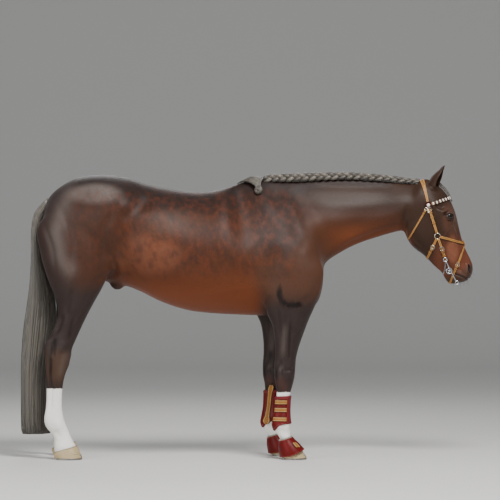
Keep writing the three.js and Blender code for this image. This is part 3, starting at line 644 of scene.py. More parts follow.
def with_lids(points):
    """Lays the skin round each eye on a ball a little larger than the eye, and sinks it inside the slit.

    A point's place is a forward and b up from the eye's middle. Outside the slit it goes to the height
    sqrt(R^2 - a^2 - b^2) over the eye, the less the further off; points near the slit's edge are first drawn
    onto it, so that the edge is clean.
    """
    for side in (-1, 1):
        middle, out, ahead, up = eye_frame(side)
        rel = (points - middle) / MM
        near = np.nonzero((np.linalg.norm(rel, axis=1) < 62) & (rel @ out > 0))[0]
        a, b, height = (rel[near] @ axis for axis in (ahead, up, out))
        top, low = lid_edges(a)
        wide = np.abs(a) < LID_HALF
        gap = np.where(b > (top + low) / 2, b - top, low - b)
        snap = wide & (np.abs(gap) < 1.1)
        b = np.where(snap, np.where(b > (top + low) / 2, top + 0.01, low - 0.01), b)
        gap = np.where(snap, 0.01, gap)
        inside = wide & (gap < 0)
        far = np.hypot(a / 1.25, b)
        dome = np.sqrt(np.maximum(LID_RADIUS**2 - np.minimum(a**2 + b**2, 28.0**2), 0))
        edge = np.hypot(np.maximum(np.abs(a) - LID_HALF, 0), np.where(wide, np.maximum(gap, 0), np.abs(b)))
        lid = 1 - smooth(2.0, 27.0, edge)
        shaped = height * (1 - lid) + (dome - 0.6) * lid
        shaped += 1.3 * swell(edge, 1.2, 1.6) - 1.5 * swell(edge, 7.5, 2.0) * (b > 0)
        shaped -= 0.9 * swell(edge, 6.0, 1.8) * (b < 0)
        shaped += 1.2 * swell(edge, 11.5, 2.6) * (b > 0)
        sunk = np.sqrt(np.maximum((EYE_RADIUS - 4) ** 2 - a**2 - b**2, 0)) - 1
        corner = smooth(17, LID_HALF, np.abs(a))
        sunk = sunk * (1 - corner) + (dome - 5) * corner
        height = np.where(inside, sunk, np.where(far < 60, shaped, height))
        points[near] = middle + (a[:, None] * ahead + b[:, None] * up + height[:, None] * out) * MM
    return points


def nostril_frame(side):
    """The nostril's middle and its outward, backward and upward directions."""
    out = unit((0.62, side * 0.77, -0.1))
    up = square_to(np.array([0.28, side * 0.12, 0.95]), out)
    return np.array([NOSTRIL[0], side * NOSTRIL[1], NOSTRIL[2]]) * MM, out, np.cross(up, out) * side, up


def with_nostrils(points):
    """Sinks a comma-shaped hole: a leaf whose middle line bends back towards its top, with a rolled rim."""
    for side in (-1, 1):
        middle, out, back, up = nostril_frame(side)
        rel = (points - middle) / MM
        near = np.nonzero(np.linalg.norm(rel, axis=1) < 60)[0]
        a, b, height = (rel[near] @ axis for axis in (back, up, out))
        t = b / 27.0
        level = np.clip(t, -1.1, 1.1)
        bend = 9.0 * level**2 * np.sign(level)
        half = 12.0 * (1 - 0.28 * level)
        ring = np.maximum(np.hypot((a - bend) / half, t), 0.01)
        rim = (ring - 1) * ring / np.hypot((a - bend) / half**2, t / 27.0)
        depth = 24 * smooth(0.0, 1.0, np.clip(-rim / 6.5, 0, 1) ** 0.6)
        lip = 2.6 * swell(rim, 2.5, 3.2) * (rim > -1.5)
        fold = -1.8 * swell(rim, 10, 3.0) * (a > 0)
        move = np.where(height > -26, lip + fold - depth, 0)
        points[near] += move[:, None] * out * MM - (depth * 0.35)[:, None] * np.array([1, 0, -0.2]) * MM
    return points


def lip_depth(points, normals):
    """How far the skin sinks along the line of the mouth, which runs from the corner round the front."""
    q, _ = canonical(points, "head")
    far = line_distance(q[:, [0, 2]], LIP_LINE)
    return 5.5 * swell(far, 0, 2.6) * (q[:, 0] > LIP_START)


def flesh_shapes():
    """The body's plain volumes, shrunk by the depth of the coat."""
    yield shell(TRUNK, 110, 300, -COAT_DEPTH)
    yield shell(HEAD, 120, 200, -COAT_DEPTH)
    yield ball(SHEATH["at"], SHEATH["radii"], 32, SHEATH["tilt"])
    for side in (-1, 1):
        yield ball((1084, 44 * side, 1580), (34, 25, 25), 32)
        yield shell(FORE_LEG, 64, 240, -COAT_DEPTH, side, LEG_BACK[("fore", side)])
        yield shell(HIND_LEG, 64, 240, -COAT_DEPTH, side, LEG_BACK[("hind", side)])


def ear_shape(side):
    """A leaf of skin rolled into a funnel, open to the front and a little outwards, with a thick rim.

    Across, the leaf's angle runs from -w to w round the ear's own line; its radius narrows to the tip, and
    the inner surface lies a wall's thickness inside the outer one.
    """
    steps = np.linspace(0, 1, 44)
    base, bend, tip = (np.array(p, float) for p in ((1098, 44, 1585), (1124, 62, 1655), (1160, 60, 1717)))
    t = steps[:, None]
    spine = (1 - t) ** 2 * base + 2 * t * (1 - t) * bend + t**2 * tip
    along = unit(np.gradient(spine, axis=0))
    face = np.array([0.86, 0.5, 0.1])
    face = unit(face - along * (along @ face)[:, None])
    across = np.cross(along, face)
    radius = 31 * (1 - steps**2.3) ** 0.8 * (0.72 + 0.5 * np.sin(np.pi * np.clip(steps * 1.15 + 0.1, 0, 1)))
    radius = np.maximum(radius, 1.2) + 9 * swell(steps, 0.06, 0.12)
    gape = 2.55 - 0.57 * np.sin(np.pi * np.clip(0.15 + steps, 0, 1))
    wall = 3.6 - 1.8 * steps
    sweep = np.linspace(-1, 1, 41)
    angle = gape[:, None] * sweep[None, :]
    fold = 1 + 0.10 * np.cos(3 * angle)
    shapes = []
    for shrink in (0, 1):
        r = np.maximum(radius - shrink * wall, 0.5)[:, None] * fold
        r = r * (0.78 + 0.22 * np.cos(angle))
        shapes.append(
            spine[:, None, :] - face[:, None, :] * (r * np.cos(angle))[..., None]
            + across[:, None, :] * (r * np.sin(angle) * 0.86)[..., None]
        )
    outer, inner = shapes
    ring = np.concatenate([outer, inner[:, ::-1]], axis=1) * MM
    ring[..., 1] *= side
    return outward(capped(ring))


def from_openings(points):
    """How far points lie from the nearest eye or nostril, in metres."""
    middles = [frame_of(side)[0] for frame_of in (eye_frame, nostril_frame) for side in (-1, 1)]
    return np.minimum.reduce([np.linalg.norm(points - middle, axis=1) for middle in middles])


def skin_mesh():
    """One skin: the plain volumes melted together and relaxed, the head refined, and every form laid on."""
    raw = mesh_of("flesh", joined(flesh_shapes()))
    mesh = evaluated(raw, "REMESH", mode="VOXEL", voxel_size=SKIN_GRID, use_smooth_shade=True)
    points = points_of(mesh)
    x, z = points[:, 0], points[:, 2]
    high = smooth(0.62, 0.95, z)
    behind = 1 - smooth(0.93, 1.1, x)
    points = relax(points, edges_of(mesh), 0.5 * (0.03 + 0.97 * high * behind), 60)
    points = relax(points, edges_of(mesh), np.full(len(points), 0.5), 6)
    moved(mesh, points)
    subdivided(mesh, points[:, 0] > 1.0)
    points = points_of(mesh)
    points = relax(points, edges_of(mesh), 0.5 * smooth(0.95, 1.0, points[:, 0]), 8)
    fine = from_openings(points) < 0.045
    q, _ = canonical(points, "head")
    fine |= (line_distance(q[:, [0, 2]], LIP_LINE) < 9) & (q[:, 0] > LIP_START)
    moved(mesh, points)
    subdivided(mesh, fine)
    mesh.update()
    points = lifted(points_of(mesh), normals_of(mesh))
    moved(mesh, points)
    normals = normals_of(mesh)
    points = points - normals * (lip_depth(points, normals) * MM)[:, None]
    moved(mesh, with_lids(with_nostrils(points)))
    return mesh


SKIN_FACES = 172000
# The share of the skin's triangles that each part may keep; the rest goes to the eyes and nostrils.
SKIN_SHARES = (
    (0.36, lambda x, z: (x < 0.98) & (z > 0.9)),
    (0.26, lambda x, z: (x < 0.98) & (z <= 0.9)),
    (0.22, lambda x, z: x >= 0.98),
)


def thinned(mesh, most):
    """The mesh with fewer triangles: each part is thinned in turn to its share, where it is flattest first.

    The skin keeps every triangle within 35 mm of an eye's or a nostril's middle.
    """
    mesh = evaluated(mesh, "TRIANGULATE")
    for share, where in SKIN_SHARES:
        points = points_of(mesh)
        mine = where(points[:, 0], points[:, 2]) & (from_openings(points) >= 0.035)
        tris = corner_vertices(mesh).reshape(-1, 3)
        cut = max(mine[tris].all(axis=1).sum() - share * most, 0)
        mesh = evaluated(mesh, "DECIMATE", mine, ratio=1 - cut / len(tris), vertex_group="chosen")
    return mesh


# ------------------------------------------------------------------ materials
def linear(colour):
    """An sRGB hex colour, such as #c08a45, as linear red, green, blue and full alpha."""
    parts = [int(colour[k : k + 2], 16) / 255 for k in (1, 3, 5)]
    return (*(c / 12.92 if c <= 0.04045 else ((c + 0.055) / 1.055) ** 2.4 for c in parts), 1.0)


def node(tree, kind, inputs=None, **settings):
    """Adds a node with its settings. An input given as a socket is linked; a hex colour or value is set."""
    made = tree.nodes.new(kind)
    for key, value in settings.items():
        setattr(made, key, value)
    for key, value in (inputs or {}).items():
        if isinstance(value, bpy.types.NodeSocket):
            tree.links.new(value, made.inputs[key])
        else:
            made.inputs[key].default_value = linear(value) if isinstance(value, str) else value
    return made


def surface(name, **values):
    """A new material, its node tree and its principled shader, with plain values on the shader's inputs."""
    material = bpy.data.materials.new(name)
    material.use_nodes = True
    tree = material.node_tree
    shader = tree.nodes["Principled BSDF"]
    for key, value in values.items():
        shader.inputs[key.replace("_", " ")].default_value = value
    return material, tree, shader


def link(shader, **sockets):
    """Links sockets to the shader's inputs of those names."""
    for key, socket in sockets.items():
        shader.id_data.links.new(socket, shader.inputs[key.replace("_", " ")])


def attribute(tree, name, output="Fac"):
    return node(tree, "ShaderNodeAttribute", attribute_name=name).outputs[output]


def noise(tree, scale, detail=3.0, rough=0.55, stretch=(1, 1, 1), turn=0.0, where=None):
    """Cloudy noise on the object's own coordinates, in metres, stretched and turned about Y first."""
    where = where or node(tree, "ShaderNodeTexCoord").outputs["Object"]
    turned = node(tree, "ShaderNodeVectorRotate", {"Vector": where, "Angle": turn}, rotation_type="Y_AXIS")
    spread = node(tree, "ShaderNodeVectorMath", {0: turned.outputs[0], 1: stretch}, operation="MULTIPLY")
    values = {"Vector": spread.outputs[0], "Scale": scale, "Detail": detail, "Roughness": rough}
    return node(tree, "ShaderNodeTexNoise", values).outputs["Fac"]


def step_up(tree, value, low, high, to=(0.0, 1.0)):
    """The value mapped from low..high to the range given, with soft ends."""
    values = {"Value": value, "From Min": low, "From Max": high, "To Min": to[0], "To Max": to[1]}
    return node(tree, "ShaderNodeMapRange", values, interpolation_type="SMOOTHSTEP").outputs["Result"]


def between(tree, value, low, high, soft):
    """1 where the value lies between low and high, with soft edges inside them."""
    rising = step_up(tree, value, low, low + soft)
    return times(tree, rising, step_up(tree, value, high, high - soft))


def dashes(tree, number, low, high):
    """Stitches along a part, that many to a metre: each lies from low to high of its own share."""
    along = maths(tree, "FRACT", times(tree, attribute(tree, "along"), number))
    return between(tree, along, low, high, 0.1)


def maths(tree, kind, a, b=0.0):
    return node(tree, "ShaderNodeMath", {0: a, 1: b}, operation=kind).outputs[0]


def times(tree, a, b):
    return maths(tree, "MULTIPLY", a, b)


def plus(tree, a, b):
    return maths(tree, "ADD", a, b)


def mixed(tree, amount, first, second, kind="MIX"):
    made = node(tree, "ShaderNodeMix", {0: amount, 6: first, 7: second}, data_type="RGBA", blend_type=kind)
    return made.outputs[2]


def bumped(tree, shader, height, distance, strength=1.0):
    made = node(tree, "ShaderNodeBump", {"Height": height, "Distance": distance, "Strength": strength})
    link(shader, Normal=made.outputs[0])


def horse_coat(settings):
    """Short glossy summer coat: each hair lies flat, so it shines along the body and shows fine streaks.

    The attributes tone, white, bare and mottle carry the markings; tone also carries painted highlights and
    painted shade. Hairs run back and down on the body, down the legs and down the face; leg and face say which
    of the three runs of streaks shows.
    """
    material, tree, shader = surface(
        "short horse coat", Roughness=0.46, Sheen_Weight=0.05, Sheen_Roughness=0.4, Specular_IOR_Level=0.15
    )
    mottle = attribute(tree, "mottle")
    blotch = noise(tree, 26, 3, 0.5, (1.25, 1, 0.8))
    warm = times(tree, step_up(tree, blotch, 0.38, 0.72, (0.0, 0.4)), mottle)
    colour = mixed(tree, warm, attribute(tree, "tone", "Color"), tuple(settings.blotch))
    here = node(tree, "ShaderNodeTexCoord").outputs["Object"]
    elsewhere = node(tree, "ShaderNodeVectorMath", {0: here, 1: (3.1, 1.7, 5.3)}).outputs[0]
    shade = noise(tree, 22, 3, 0.5, (1.2, 1, 0.75), 0.4, elsewhere)
    cool = times(tree, step_up(tree, shade, 0.4, 0.72), times(tree, mottle, 0.45))
    colour = mixed(tree, cool, colour, tuple(settings.shade))
    body = noise(tree, 30, 5, 0.7, (2.2, 22, 22), 0.25)
    legs = noise(tree, 30, 5, 0.7, (24, 24, 2.2))
    face = noise(tree, 30, 5, 0.7, (2.6, 26, 26), -1.05)
    streak = mixed(tree, attribute(tree, "face"), mixed(tree, attribute(tree, "leg"), body, legs), face)
    colour = mixed(tree, step_up(tree, streak, 0.3, 0.75, (0.0, 0.45)), colour, "#1a1210", "MULTIPLY")
    ragged = step_up(tree, noise(tree, 190, 4, 0.7, (1, 1, 0.18)), 0.25, 0.75, (-0.004, 0.004))
    white = step_up(tree, plus(tree, attribute(tree, "white"), ragged), -0.003, 0.003)
    pale = mixed(tree, step_up(tree, streak, 0.35, 0.7), "#faf7f1", "#dcd5cb")
    colour = mixed(tree, white, colour, pale)
    bare = attribute(tree, "bare")
    pores = noise(tree, 420, 2)
    hide = mixed(tree, pores, "#2a2220", "#453734")
    colour = mixed(tree, bare, colour, hide)
    link(shader, Base_Color=colour)
    rough = plus(tree, step_up(tree, streak, 0.3, 0.8, (0.36, 0.56)), times(tree, white, 0.12))
    link(shader, Roughness=rough)
    bumped(tree, shader, mixed(tree, bare, streak, pores), 0.0011, 0.8)
    return material


def long_hair():
    """Combed mane and tail hair: smooth strands of silver grey with darker flecks along them."""
    material, tree, shader = surface(
        "combed horsehair", Roughness=0.38, Sheen_Weight=0.15, Specular_IOR_Level=0.5
    )
    strand = attribute(tree, "strand", "Vector")
    fleck = noise(tree, 1.0, 4, 0.7, (14, 14, 9), 0.0, strand)
    dark = step_up(tree, fleck, 0.35, 0.7, (0.0, 0.6))
    colour = mixed(tree, dark, attribute(tree, "tone", "Color"), "#2b2624")
    link(shader, Base_Color=colour)
    bumped(tree, shader, fleck, 0.0012, 0.9)
    return material


def bridle_leather(settings):
    """Honey-tan bridle leather: waxed and smooth, with dark dyed edges and a line of pale stitches."""
    material, tree, shader = surface(
        "waxed bridle leather", Coat_Weight=0.03, Coat_Roughness=0.35, Specular_IOR_Level=0.2
    )
    across = maths(tree, "ABSOLUTE", attribute(tree, "across"))
    grain = noise(tree, 340, 4, 0.65)
    cloud = noise(tree, 30, 3, 0.6)
    tan = mixed(tree, cloud, tuple(settings.leather), tuple(settings.leather_shade))
    tan = mixed(tree, step_up(tree, grain, 0.4, 0.75, (0.0, 0.35)), tan, "#6b4318")
    colour = mixed(tree, step_up(tree, across, 0.74, 0.86), tan, "#38200f")
    line = times(tree, dashes(tree, 190.0, 0.12, 0.88), between(tree, across, 0.5, 0.65, 0.04))
    stitch = times(tree, line, attribute(tree, "outer"))
    colour = mixed(tree, stitch, colour, "#d8c296")
    link(shader, Base_Color=colour)
    link(shader, Roughness=step_up(tree, grain, 0.3, 0.8, (0.42, 0.6)))
    height = plus(tree, times(tree, grain, 0.35), times(tree, stitch, 0.7))
    bumped(tree, shader, height, 0.0006, 0.8)
    return material


def metal(name, colour, rough, scratch=0.06):
    """Polished metal: clean reflections broken by very fine rubbing."""
    material, tree, shader = surface(name, Metallic=1.0)
    shader.inputs["Base Color"].default_value = linear(colour)
    rub = noise(tree, 300, 4, 0.7, (1, 1, 3))
    link(shader, Roughness=step_up(tree, rub, 0.3, 0.8, (rough, rough + 0.18)))
    bumped(tree, shader, rub, 0.0002, scratch * 4)
    return material


def hoof_horn():
    """Hoof horn: growth rings that follow the coronet, fine tubules down the wall, and a waxy shine."""
    material, tree, shader = surface("hoof horn", Roughness=0.42, Coat_Weight=0.1, Coat_Roughness=0.35)
    height = attribute(tree, "along")
    fibre = noise(tree, 60, 4, 0.65, (9, 9, 0.7))
    wobble = times(tree, noise(tree, 14, 2), 0.10)
    rings = maths(tree, "SINE", times(tree, plus(tree, height, wobble), 62.0))
    colour = mixed(tree, fibre, "#cdbb92", "#a58c63")
    colour = mixed(tree, step_up(tree, rings, -0.6, 1.0, (0.0, 0.25)), colour, "#7c6544")
    colour = mixed(tree, step_up(tree, height, 0.7, 1.05, (0.0, 0.5)), colour, "#8f7d5e")
    colour = mixed(tree, step_up(tree, height, 0.88, 1.0, (0.0, 0.8)), colour, "#4b3f31")
    link(shader, Base_Color=colour)
    bumped(tree, shader, plus(tree, times(tree, rings, 0.25), fibre), 0.0008, 0.5)
    return material


def length(tree, a, b):
    """The length of a line that goes a one way and b square to it."""
    both = node(tree, "ShaderNodeCombineXYZ", {0: a, 1: b}).outputs[0]
    return node(tree, "ShaderNodeVectorMath", {0: both}, operation="LENGTH").outputs["Value"]


def eye_glass():
    """A horse's eye: wet and glossy, a brown iris with fine rays and a dark pupil, wider than it is tall."""
    material, tree, shader = surface(
        "wet eye", Roughness=0.12, Coat_Weight=0.3, Coat_Roughness=0.02, Specular_IOR_Level=0.25
    )
    ahead = attribute(tree, "ahead")
    above = attribute(tree, "above")
    far = length(tree, ahead, above)
    deep = length(tree, times(tree, ahead, 0.115), times(tree, above, 0.2))
    rays = noise(tree, 900, 3, 0.7)
    iris = mixed(tree, rays, "#38291a", "#1c120b")
    iris = mixed(tree, step_up(tree, far, 7.0, 15.0), iris, "#0f0906")
    white = mixed(tree, noise(tree, 200, 2), "#4a3a30", "#2c211b")
    colour = mixed(tree, step_up(tree, far, 16.2, 17.6), iris, white)
    colour = mixed(tree, step_up(tree, deep, 1.1, 0.9), colour, "#04050a")
    link(shader, Base_Color=colour)
    return material


def boot_red(name, rubber, light="#700f0d", deep="#430706"):
    """Deep red boot: grained waxed leather, or moulded rubber; its bound edge is lighter."""
    coat = 0.0 if rubber else 0.04
    material, tree, shader = surface(name, Coat_Weight=coat, Coat_Roughness=0.35, Specular_IOR_Level=0.16)
    grain = noise(tree, 420 if rubber else 260, 3, 0.6)
    cloud = noise(tree, 26, 3, 0.6)
    colour = mixed(tree, cloud, light, deep)
    bound = attribute(tree, "bound")
    colour = mixed(tree, bound, colour, "#6c1716" if rubber else "#671d20")
    stitch = times(tree, dashes(tree, 210.0, 0.1, 0.85), between(tree, bound, 0.35, 0.65, 0.1))
    colour = mixed(tree, stitch, colour, "#a8655c")
    link(shader, Base_Color=colour)
    link(shader, Roughness=step_up(tree, grain, 0.3, 0.8, (0.36, 0.54)))
    bumped(tree, shader, plus(tree, grain, stitch), 0.0005, 0.7)
    return material


def knit():
    """Soft grey-beige knitted band, ribbed up and down, with painted shade in the hollows between the ribs."""
    material, tree, shader = surface("grey-beige knit", Roughness=0.85, Sheen_Weight=0.3)
    rib = maths(tree, "SINE", times(tree, attribute(tree, "along"), 1600.0))
    weave = plus(tree, rib, noise(tree, 500, 2))
    # the ribs' hollows are painted darker and their crests lighter: painted shade, with the yarn's own speckle
    colour = mixed(tree, step_up(tree, weave, -0.6, 1.4), "#6b645b", "#a69c8c")
    link(shader, Base_Color=colour)
    bumped(tree, shader, weave, 0.0006)
    return material


def pearl(name, colour):
    """Glass pearl or bead: a smooth coated ball with a soft bright spot."""
    material, tree, shader = surface(name, Roughness=0.22, Coat_Weight=0.8, Coat_Roughness=0.08)
    cloud = noise(tree, 220, 2)
    base = mixed(tree, step_up(tree, cloud, 0.3, 0.8, (0.0, 0.25)), colour, "#6b5a4c")
    link(shader, Base_Color=base)
    return material


# ------------------------------------------------------------------ pieces
def dressed(mesh, material, slot, *nodes):
    """A finished piece: it rides the horse, takes the material given, and stands for the nodes given; the slot
    is not used.
    """
    mesh.materials.append(material)
    piece = linked(mesh.name, mesh)
    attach(piece, "root")
    for name in nodes:
        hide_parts(name)


def with_values(mesh, **arrays):
    """Stores one number or colour for each vertex under each name."""
    for name, values in arrays.items():
        kind, field = "FLOAT", "value"
        if np.ndim(values) == 2:
            kind, field = "FLOAT_COLOR", "color"
            values = np.concatenate([values, np.ones((len(values), 1))], 1)
        layer = mesh.attributes.new(name, kind, "POINT")
        layer.data.foreach_set(field, np.asarray(values, np.float32).ravel())
    return mesh


def set_bake_map(mesh, per_corner):
    layer = mesh.uv_layers.new(name="OFBake")
    layer.data.foreach_set("uv", np.asarray(per_corner, np.float32).ravel())
    return mesh


def unwrapped(mesh):
    """A flat map of a skin: each face goes to the chart of its part and of the way it faces, out of six.

    A chart is the face's place seen along that direction, at one scale for all; the charts stand in rows.
    """
    part = part_of(read(mesh.polygons, "center", (-1, 3)).astype(float))
    facing = read(mesh.polygons, "normal", (-1, 3)).astype(float)
    axis = np.abs(facing).argmax(1)
    chart = part * 6 + axis * 2 + (facing[np.arange(len(axis)), axis] > 0)
    chart, axis = np.repeat([chart, axis], corner_totals(mesh), axis=1)
    points = points_of(mesh)[corner_vertices(mesh)]
    seen = np.array([[1, 2], [0, 2], [0, 1]])[axis]
    flat = np.take_along_axis(points, seen, 1)
    names = np.unique(chart)
    low = np.array([flat[chart == c].min(0) for c in names])
    size = np.array([flat[chart == c].max(0) for c in names]) - low + 0.01
    order = np.argsort(-size[:, 1])
    width = math.sqrt(size.prod(1).sum()) * 1.15
    place = np.zeros_like(low)
    x = y = tall = 0.0
    for k in order:
        if x + size[k, 0] > width and x > 0:
            x, y, tall = 0.0, y + tall, 0.0
        place[k] = (x, y)
        x += size[k, 0]
        tall = max(tall, size[k, 1])
    scale = 1 / max(width, y + tall, (place + size)[:, 0].max())
    which = np.searchsorted(names, chart)
    return set_bake_map(mesh, (flat - low[which] + place[which] + 0.005) * scale)


def part_of(points):
    """Which part a point belongs to: 0 head, 1 body, then each leg, then each ear."""
    x, y, z = points.T
    part = np.where(x > 0.98, 0, 1)
    low = z < 0.86
    part = np.where(low & (x > -0.4) & (x < 0.9), np.where(y < 0, 2, 3), part)
    part = np.where((z < 1.0) & (x < -0.75), np.where(y < 0, 4, 5), part)
    return np.where((z > 1.62) & (x > 1.06), np.where(y < 0, 6, 7), part)


TOP = "#261b17"
# Painted highlight: the grey sheen that the light lays on the croup, behind the hip and along the neck.
PAINTED_SHEEN = "#80756f"
BARREL = "#4b2b1b"
RUST = "#783d1f"
NECK = "#342219"
LEG = "#332825"
FACE = "#36241a"
SHOULDER = "#52382b"
LOWER_FACE = "#633725"
MUZZLE = "#4c3428"
WHITE_UP_TO = {("hind", -1): 413, ("fore", -1): 392, ("fore", 1): 210, ("hind", 1): 210}


# Painted highlights, painted shade in the grooves, and some real tones of the coat, along muscle and bone:
# region, colour, how strong, how far it reaches, and its line [x, z].
PAINTED_SHADING_AND_TONES = (
    # painted highlights down the forearm and round the knee
    ("fore", "#7a6e67", 0.22, 15, ((222, 800), (212, 690), (206, 590))),
    ("fore", "#7a6e67", 0.3, 10, ((183, 512), (194, 530), (208, 545))),
    # a real redder tone of the coat above the boot
    ("fore", "#5c3a33", 0.45, 26, ((190, 455), (215, 420))),
    # painted shade in the groove down the forearm and round the back of the knee
    ("fore", "#140f0e", 0.6, 6, ((252, 830), (247, 700), (244, 606), (236, 560))),
    ("fore", "#140f0e", 0.7, 8, ((187, 562), (175, 525), (168, 493), (174, 455))),
    # a real warmer tone of the coat on the hock and cannon
    ("hind", "#4f392c", 0.85, 85, ((-1075, 650), (-1105, 540), (-1120, 430))),
    # painted highlight down the front of the hock and cannon
    ("hind", "#665a52", 0.35, 17, ((-1040, 640), (-1072, 560), (-1096, 470))),
    # painted shade in the grooves of the hock, the tendon and the gaskin
    ("hind", "#140f0e", 0.8, 9,
     ((-1092, 770), (-1106, 734), (-1132, 650), (-1142, 594), (-1146, 479), (-1138, 420))),
    ("hind", "#140f0e", 0.6, 9, ((-1010, 830), (-1030, 750), (-1036, 700))),
)
# The curved line along which the painted highlight of the light lies behind the hip, seen from the side.
HIP_PAINTED_SHEEN = ((-1030, 1545), (-1075, 1460), (-1112, 1316), (-1085, 1182), (-1031, 1114))
# The dark crescent of hair low on the right shoulder, seen from the side.
CRESCENT = ((192, 998), (188, 962), (202, 922), (246, 898), (302, 904))


def blended(tone, layers):
    """The tone at each point with colours laid over it in turn, each by its own amount from 0 to 1."""
    for colour, amount in layers:
        tone = tone + (np.array(linear(colour)[:3]) - tone) * amount[:, None]
    return tone


def down_face(x, z):
    """How far down the face a place in the side view is from the eye, in millimetres."""
    return (x - 1180) * 0.44 - (z - 1418) * 0.9


def spot(q, centre, radii):
    """1 at a centre in the side view, falling to 0 beyond an ellipse's radii."""
    d = np.hypot((q[:, 0] - centre[0]) / radii[0], (q[:, 2] - centre[1]) / radii[1])
    return 1 - smooth(0.45, 1.0, d)


def markings(points, normals):
    """Colour and kind of the coat at each point: tone, with painted highlights and painted shade, white, bare,
    mottle, leg and face.
    """
    q, side = canonical(points, "body")
    x, y, z = q.T
    tone = np.tile(linear(BARREL)[:3], (len(q), 1))
    back_line = np.interp(x, [-1200, -850, -350, 75, 450, 1000], [1600, 1665, 1566, 1640, 1640, 1615])
    tone = blended(tone, (
        (TOP, smooth(310, 30, back_line - z)),
        (RUST, smooth(1180, 930, z) * smooth(-900, -640, x) * smooth(150, 10, x)),
        (SHOULDER, 0.7 * spot(q, (260, 1130), (300, 330))),
        (NECK, smooth(300, 520, x) * smooth(1400, 1560, z)),
        (RUST, 0.75 * smooth(380, 620, x) * smooth(1400, 1290, z + 0.05 * (700 - x))),
        (LEG, smooth(-930, -1080, x) * 0.85),
        (LEG, smooth(1120, 930, z) * smooth(-720, -860, x)),
        (LEG, smooth(1010, 860, z) * smooth(60, 140, x + 110 * smooth(838, 822, z)) * smooth(520, 420, x)),
    ))
    # Painted highlights and painted shade along the legs, and real tones of the coat.
    for region, colour, strength, reach, line in PAINTED_SHADING_AND_TONES:
        p, _ = canonical(points, region)
        mine = REGIONS[region](p) & (np.abs(normals[:, 1]) > 0.2)
        flat = p[:, [0, 2]]
        near = swell(line_distance(flat, line), 0, reach) * faded(flat, np.array(line, float))
        tone = blended(tone, ((colour, strength * near * mine),))
    flat = q[:, [0, 2]]
    head = smooth(900, 960, x + 0.35 * (z - 1350))
    down = down_face(x, z)
    ragged = 6 * np.sin(x / 3.1 + 2 * np.sin(z / 5.3))
    tone = blended(tone, (
        # painted highlight of the light on the croup
        (PAINTED_SHEEN, 0.6 * spot(q, (-880, 1545), (190, 80))),
        ("#3e2a21", 0.62 * spot(q, (-930, 1290), (230, 340))),
        # painted highlights of the light behind the hip and along the neck
        (PAINTED_SHEEN, 0.34 * swell(line_distance(flat, HIP_PAINTED_SHEEN), 0, 46)),
        (PAINTED_SHEEN, 0.16 * spot(q, (560, 1530), (330, 75))),
        # painted shade along the top edge of the back and withers
        (TOP, 0.7 * smooth(48, 12, back_line - z) * smooth(-700, -560, x)),
        ("#5b4438", 0.5 * spot(q, (-420, 1370), (260, 110))),
        # painted shade over the top of the shoulder, where its raised form catches the light
        ("#2a180f", 0.7 * spot(q, (180, 1370), (230, 260))),
        ("#41210f", 0.5 * spot(q, (-260, 1300), (230, 150))),
        ("#91583f", 0.45 * spot(q, (-560, 1190), (230, 150))),
        (FACE, head),
        (LOWER_FACE, head * smooth(60, 190, down) * smooth(1040, 1130, x)),
        (MUZZLE, head * smooth(290, 350, down)),
        ("#573a2d", 0.75 * head * spot(q, (1196, 1400), (75, 130))),
        ("#8a5740", 0.55 * head * spot(q, (1204, 1226), (46, 100))),
        ("#120c0a", 0.9 * smooth(20, 10, line_distance(flat, CRESCENT) + 0.6 * ragged) * (side < 0)),
    ))
    white = np.full(len(q), -1.0)
    leg = np.zeros(len(q))
    mottle = 1 - 0.5 * spot(q, (-930, 1290), (260, 380))
    mottle *= smooth(1650, 1480, z) * smooth(1000, 1160, z) * smooth(-1130, -960, x) * smooth(430, 200, x)
    for (end, way), height in WHITE_UP_TO.items():
        mine = (side == way) & ((x > -400) if end == "fore" else (x < -700))
        white = np.where(mine & (z < 760), (height - z) * MM, white)
        leg = np.maximum(leg, np.where(mine, smooth(1060, 860, z), 0))
    bare = np.zeros(len(q))
    for way in (-1, 1):
        middle, out, ahead, up = eye_frame(way)
        rel = (points - middle) / MM
        a, b = rel @ ahead, rel @ up
        top, low = lid_edges(a)
        gap = np.maximum(b - top, low - b)
        near = (rel @ out > 0) & (np.linalg.norm(rel, axis=1) < 60)
        rim = np.hypot(np.maximum(gap, 0), np.maximum(np.abs(a) - LID_HALF, 0))
        bare = np.maximum(bare, near * smooth(4.6, 1.8, rim))
        middle, out, back, up = nostril_frame(way)
        rel = (points - middle) / MM
        ring = np.hypot((rel @ back) / 18, (rel @ up) / 33)
        bare = np.maximum(bare, smooth(1.0, 0.72, ring) * (np.linalg.norm(rel, axis=1) < 60))
    lips = line_distance(flat, LIP_LINE)
    bare = np.maximum(bare, 0.85 * smooth(8, 2, lips) * (x > LIP_START))
    bare = np.maximum(bare, 0.7 * spot(q, (-768, 1000), (50, 36)) * (y < 60))
    inner = np.sign(normals[:, 1]) * side < -0.3
    for region, centre in (("fore", (204, 598)), ("hind", (-1086, 586))):
        callus = spot(canonical(points, region)[0], centre, (15, 34)) * inner
        tone = blended(tone, (("#0e0a09", callus),))
        bare = np.maximum(bare, 0.3 * callus)
    face = smooth(900, 1000, x + 0.2 * (z - 1400))
    return {"tone": tone, "white": white, "bare": bare, "mottle": mottle, "leg": leg, "face": face}


# ------------------------------------------------------------------ swept parts
def looped(grid):
    """A closed body from a grid that goes round both ways, like a ring."""
    rows, columns = grid.shape[:2]
    i, j = np.meshgrid(np.arange(rows), np.arange(columns), indexing="ij")
    k, l = (i + 1) % rows, (j + 1) % columns
    corners = (i * columns + j, k * columns + j, k * columns + l, i * columns + l)
    return grid.reshape(-1, 3), np.stack(corners, -1).reshape(-1, 4), np.empty((0, 3), int)


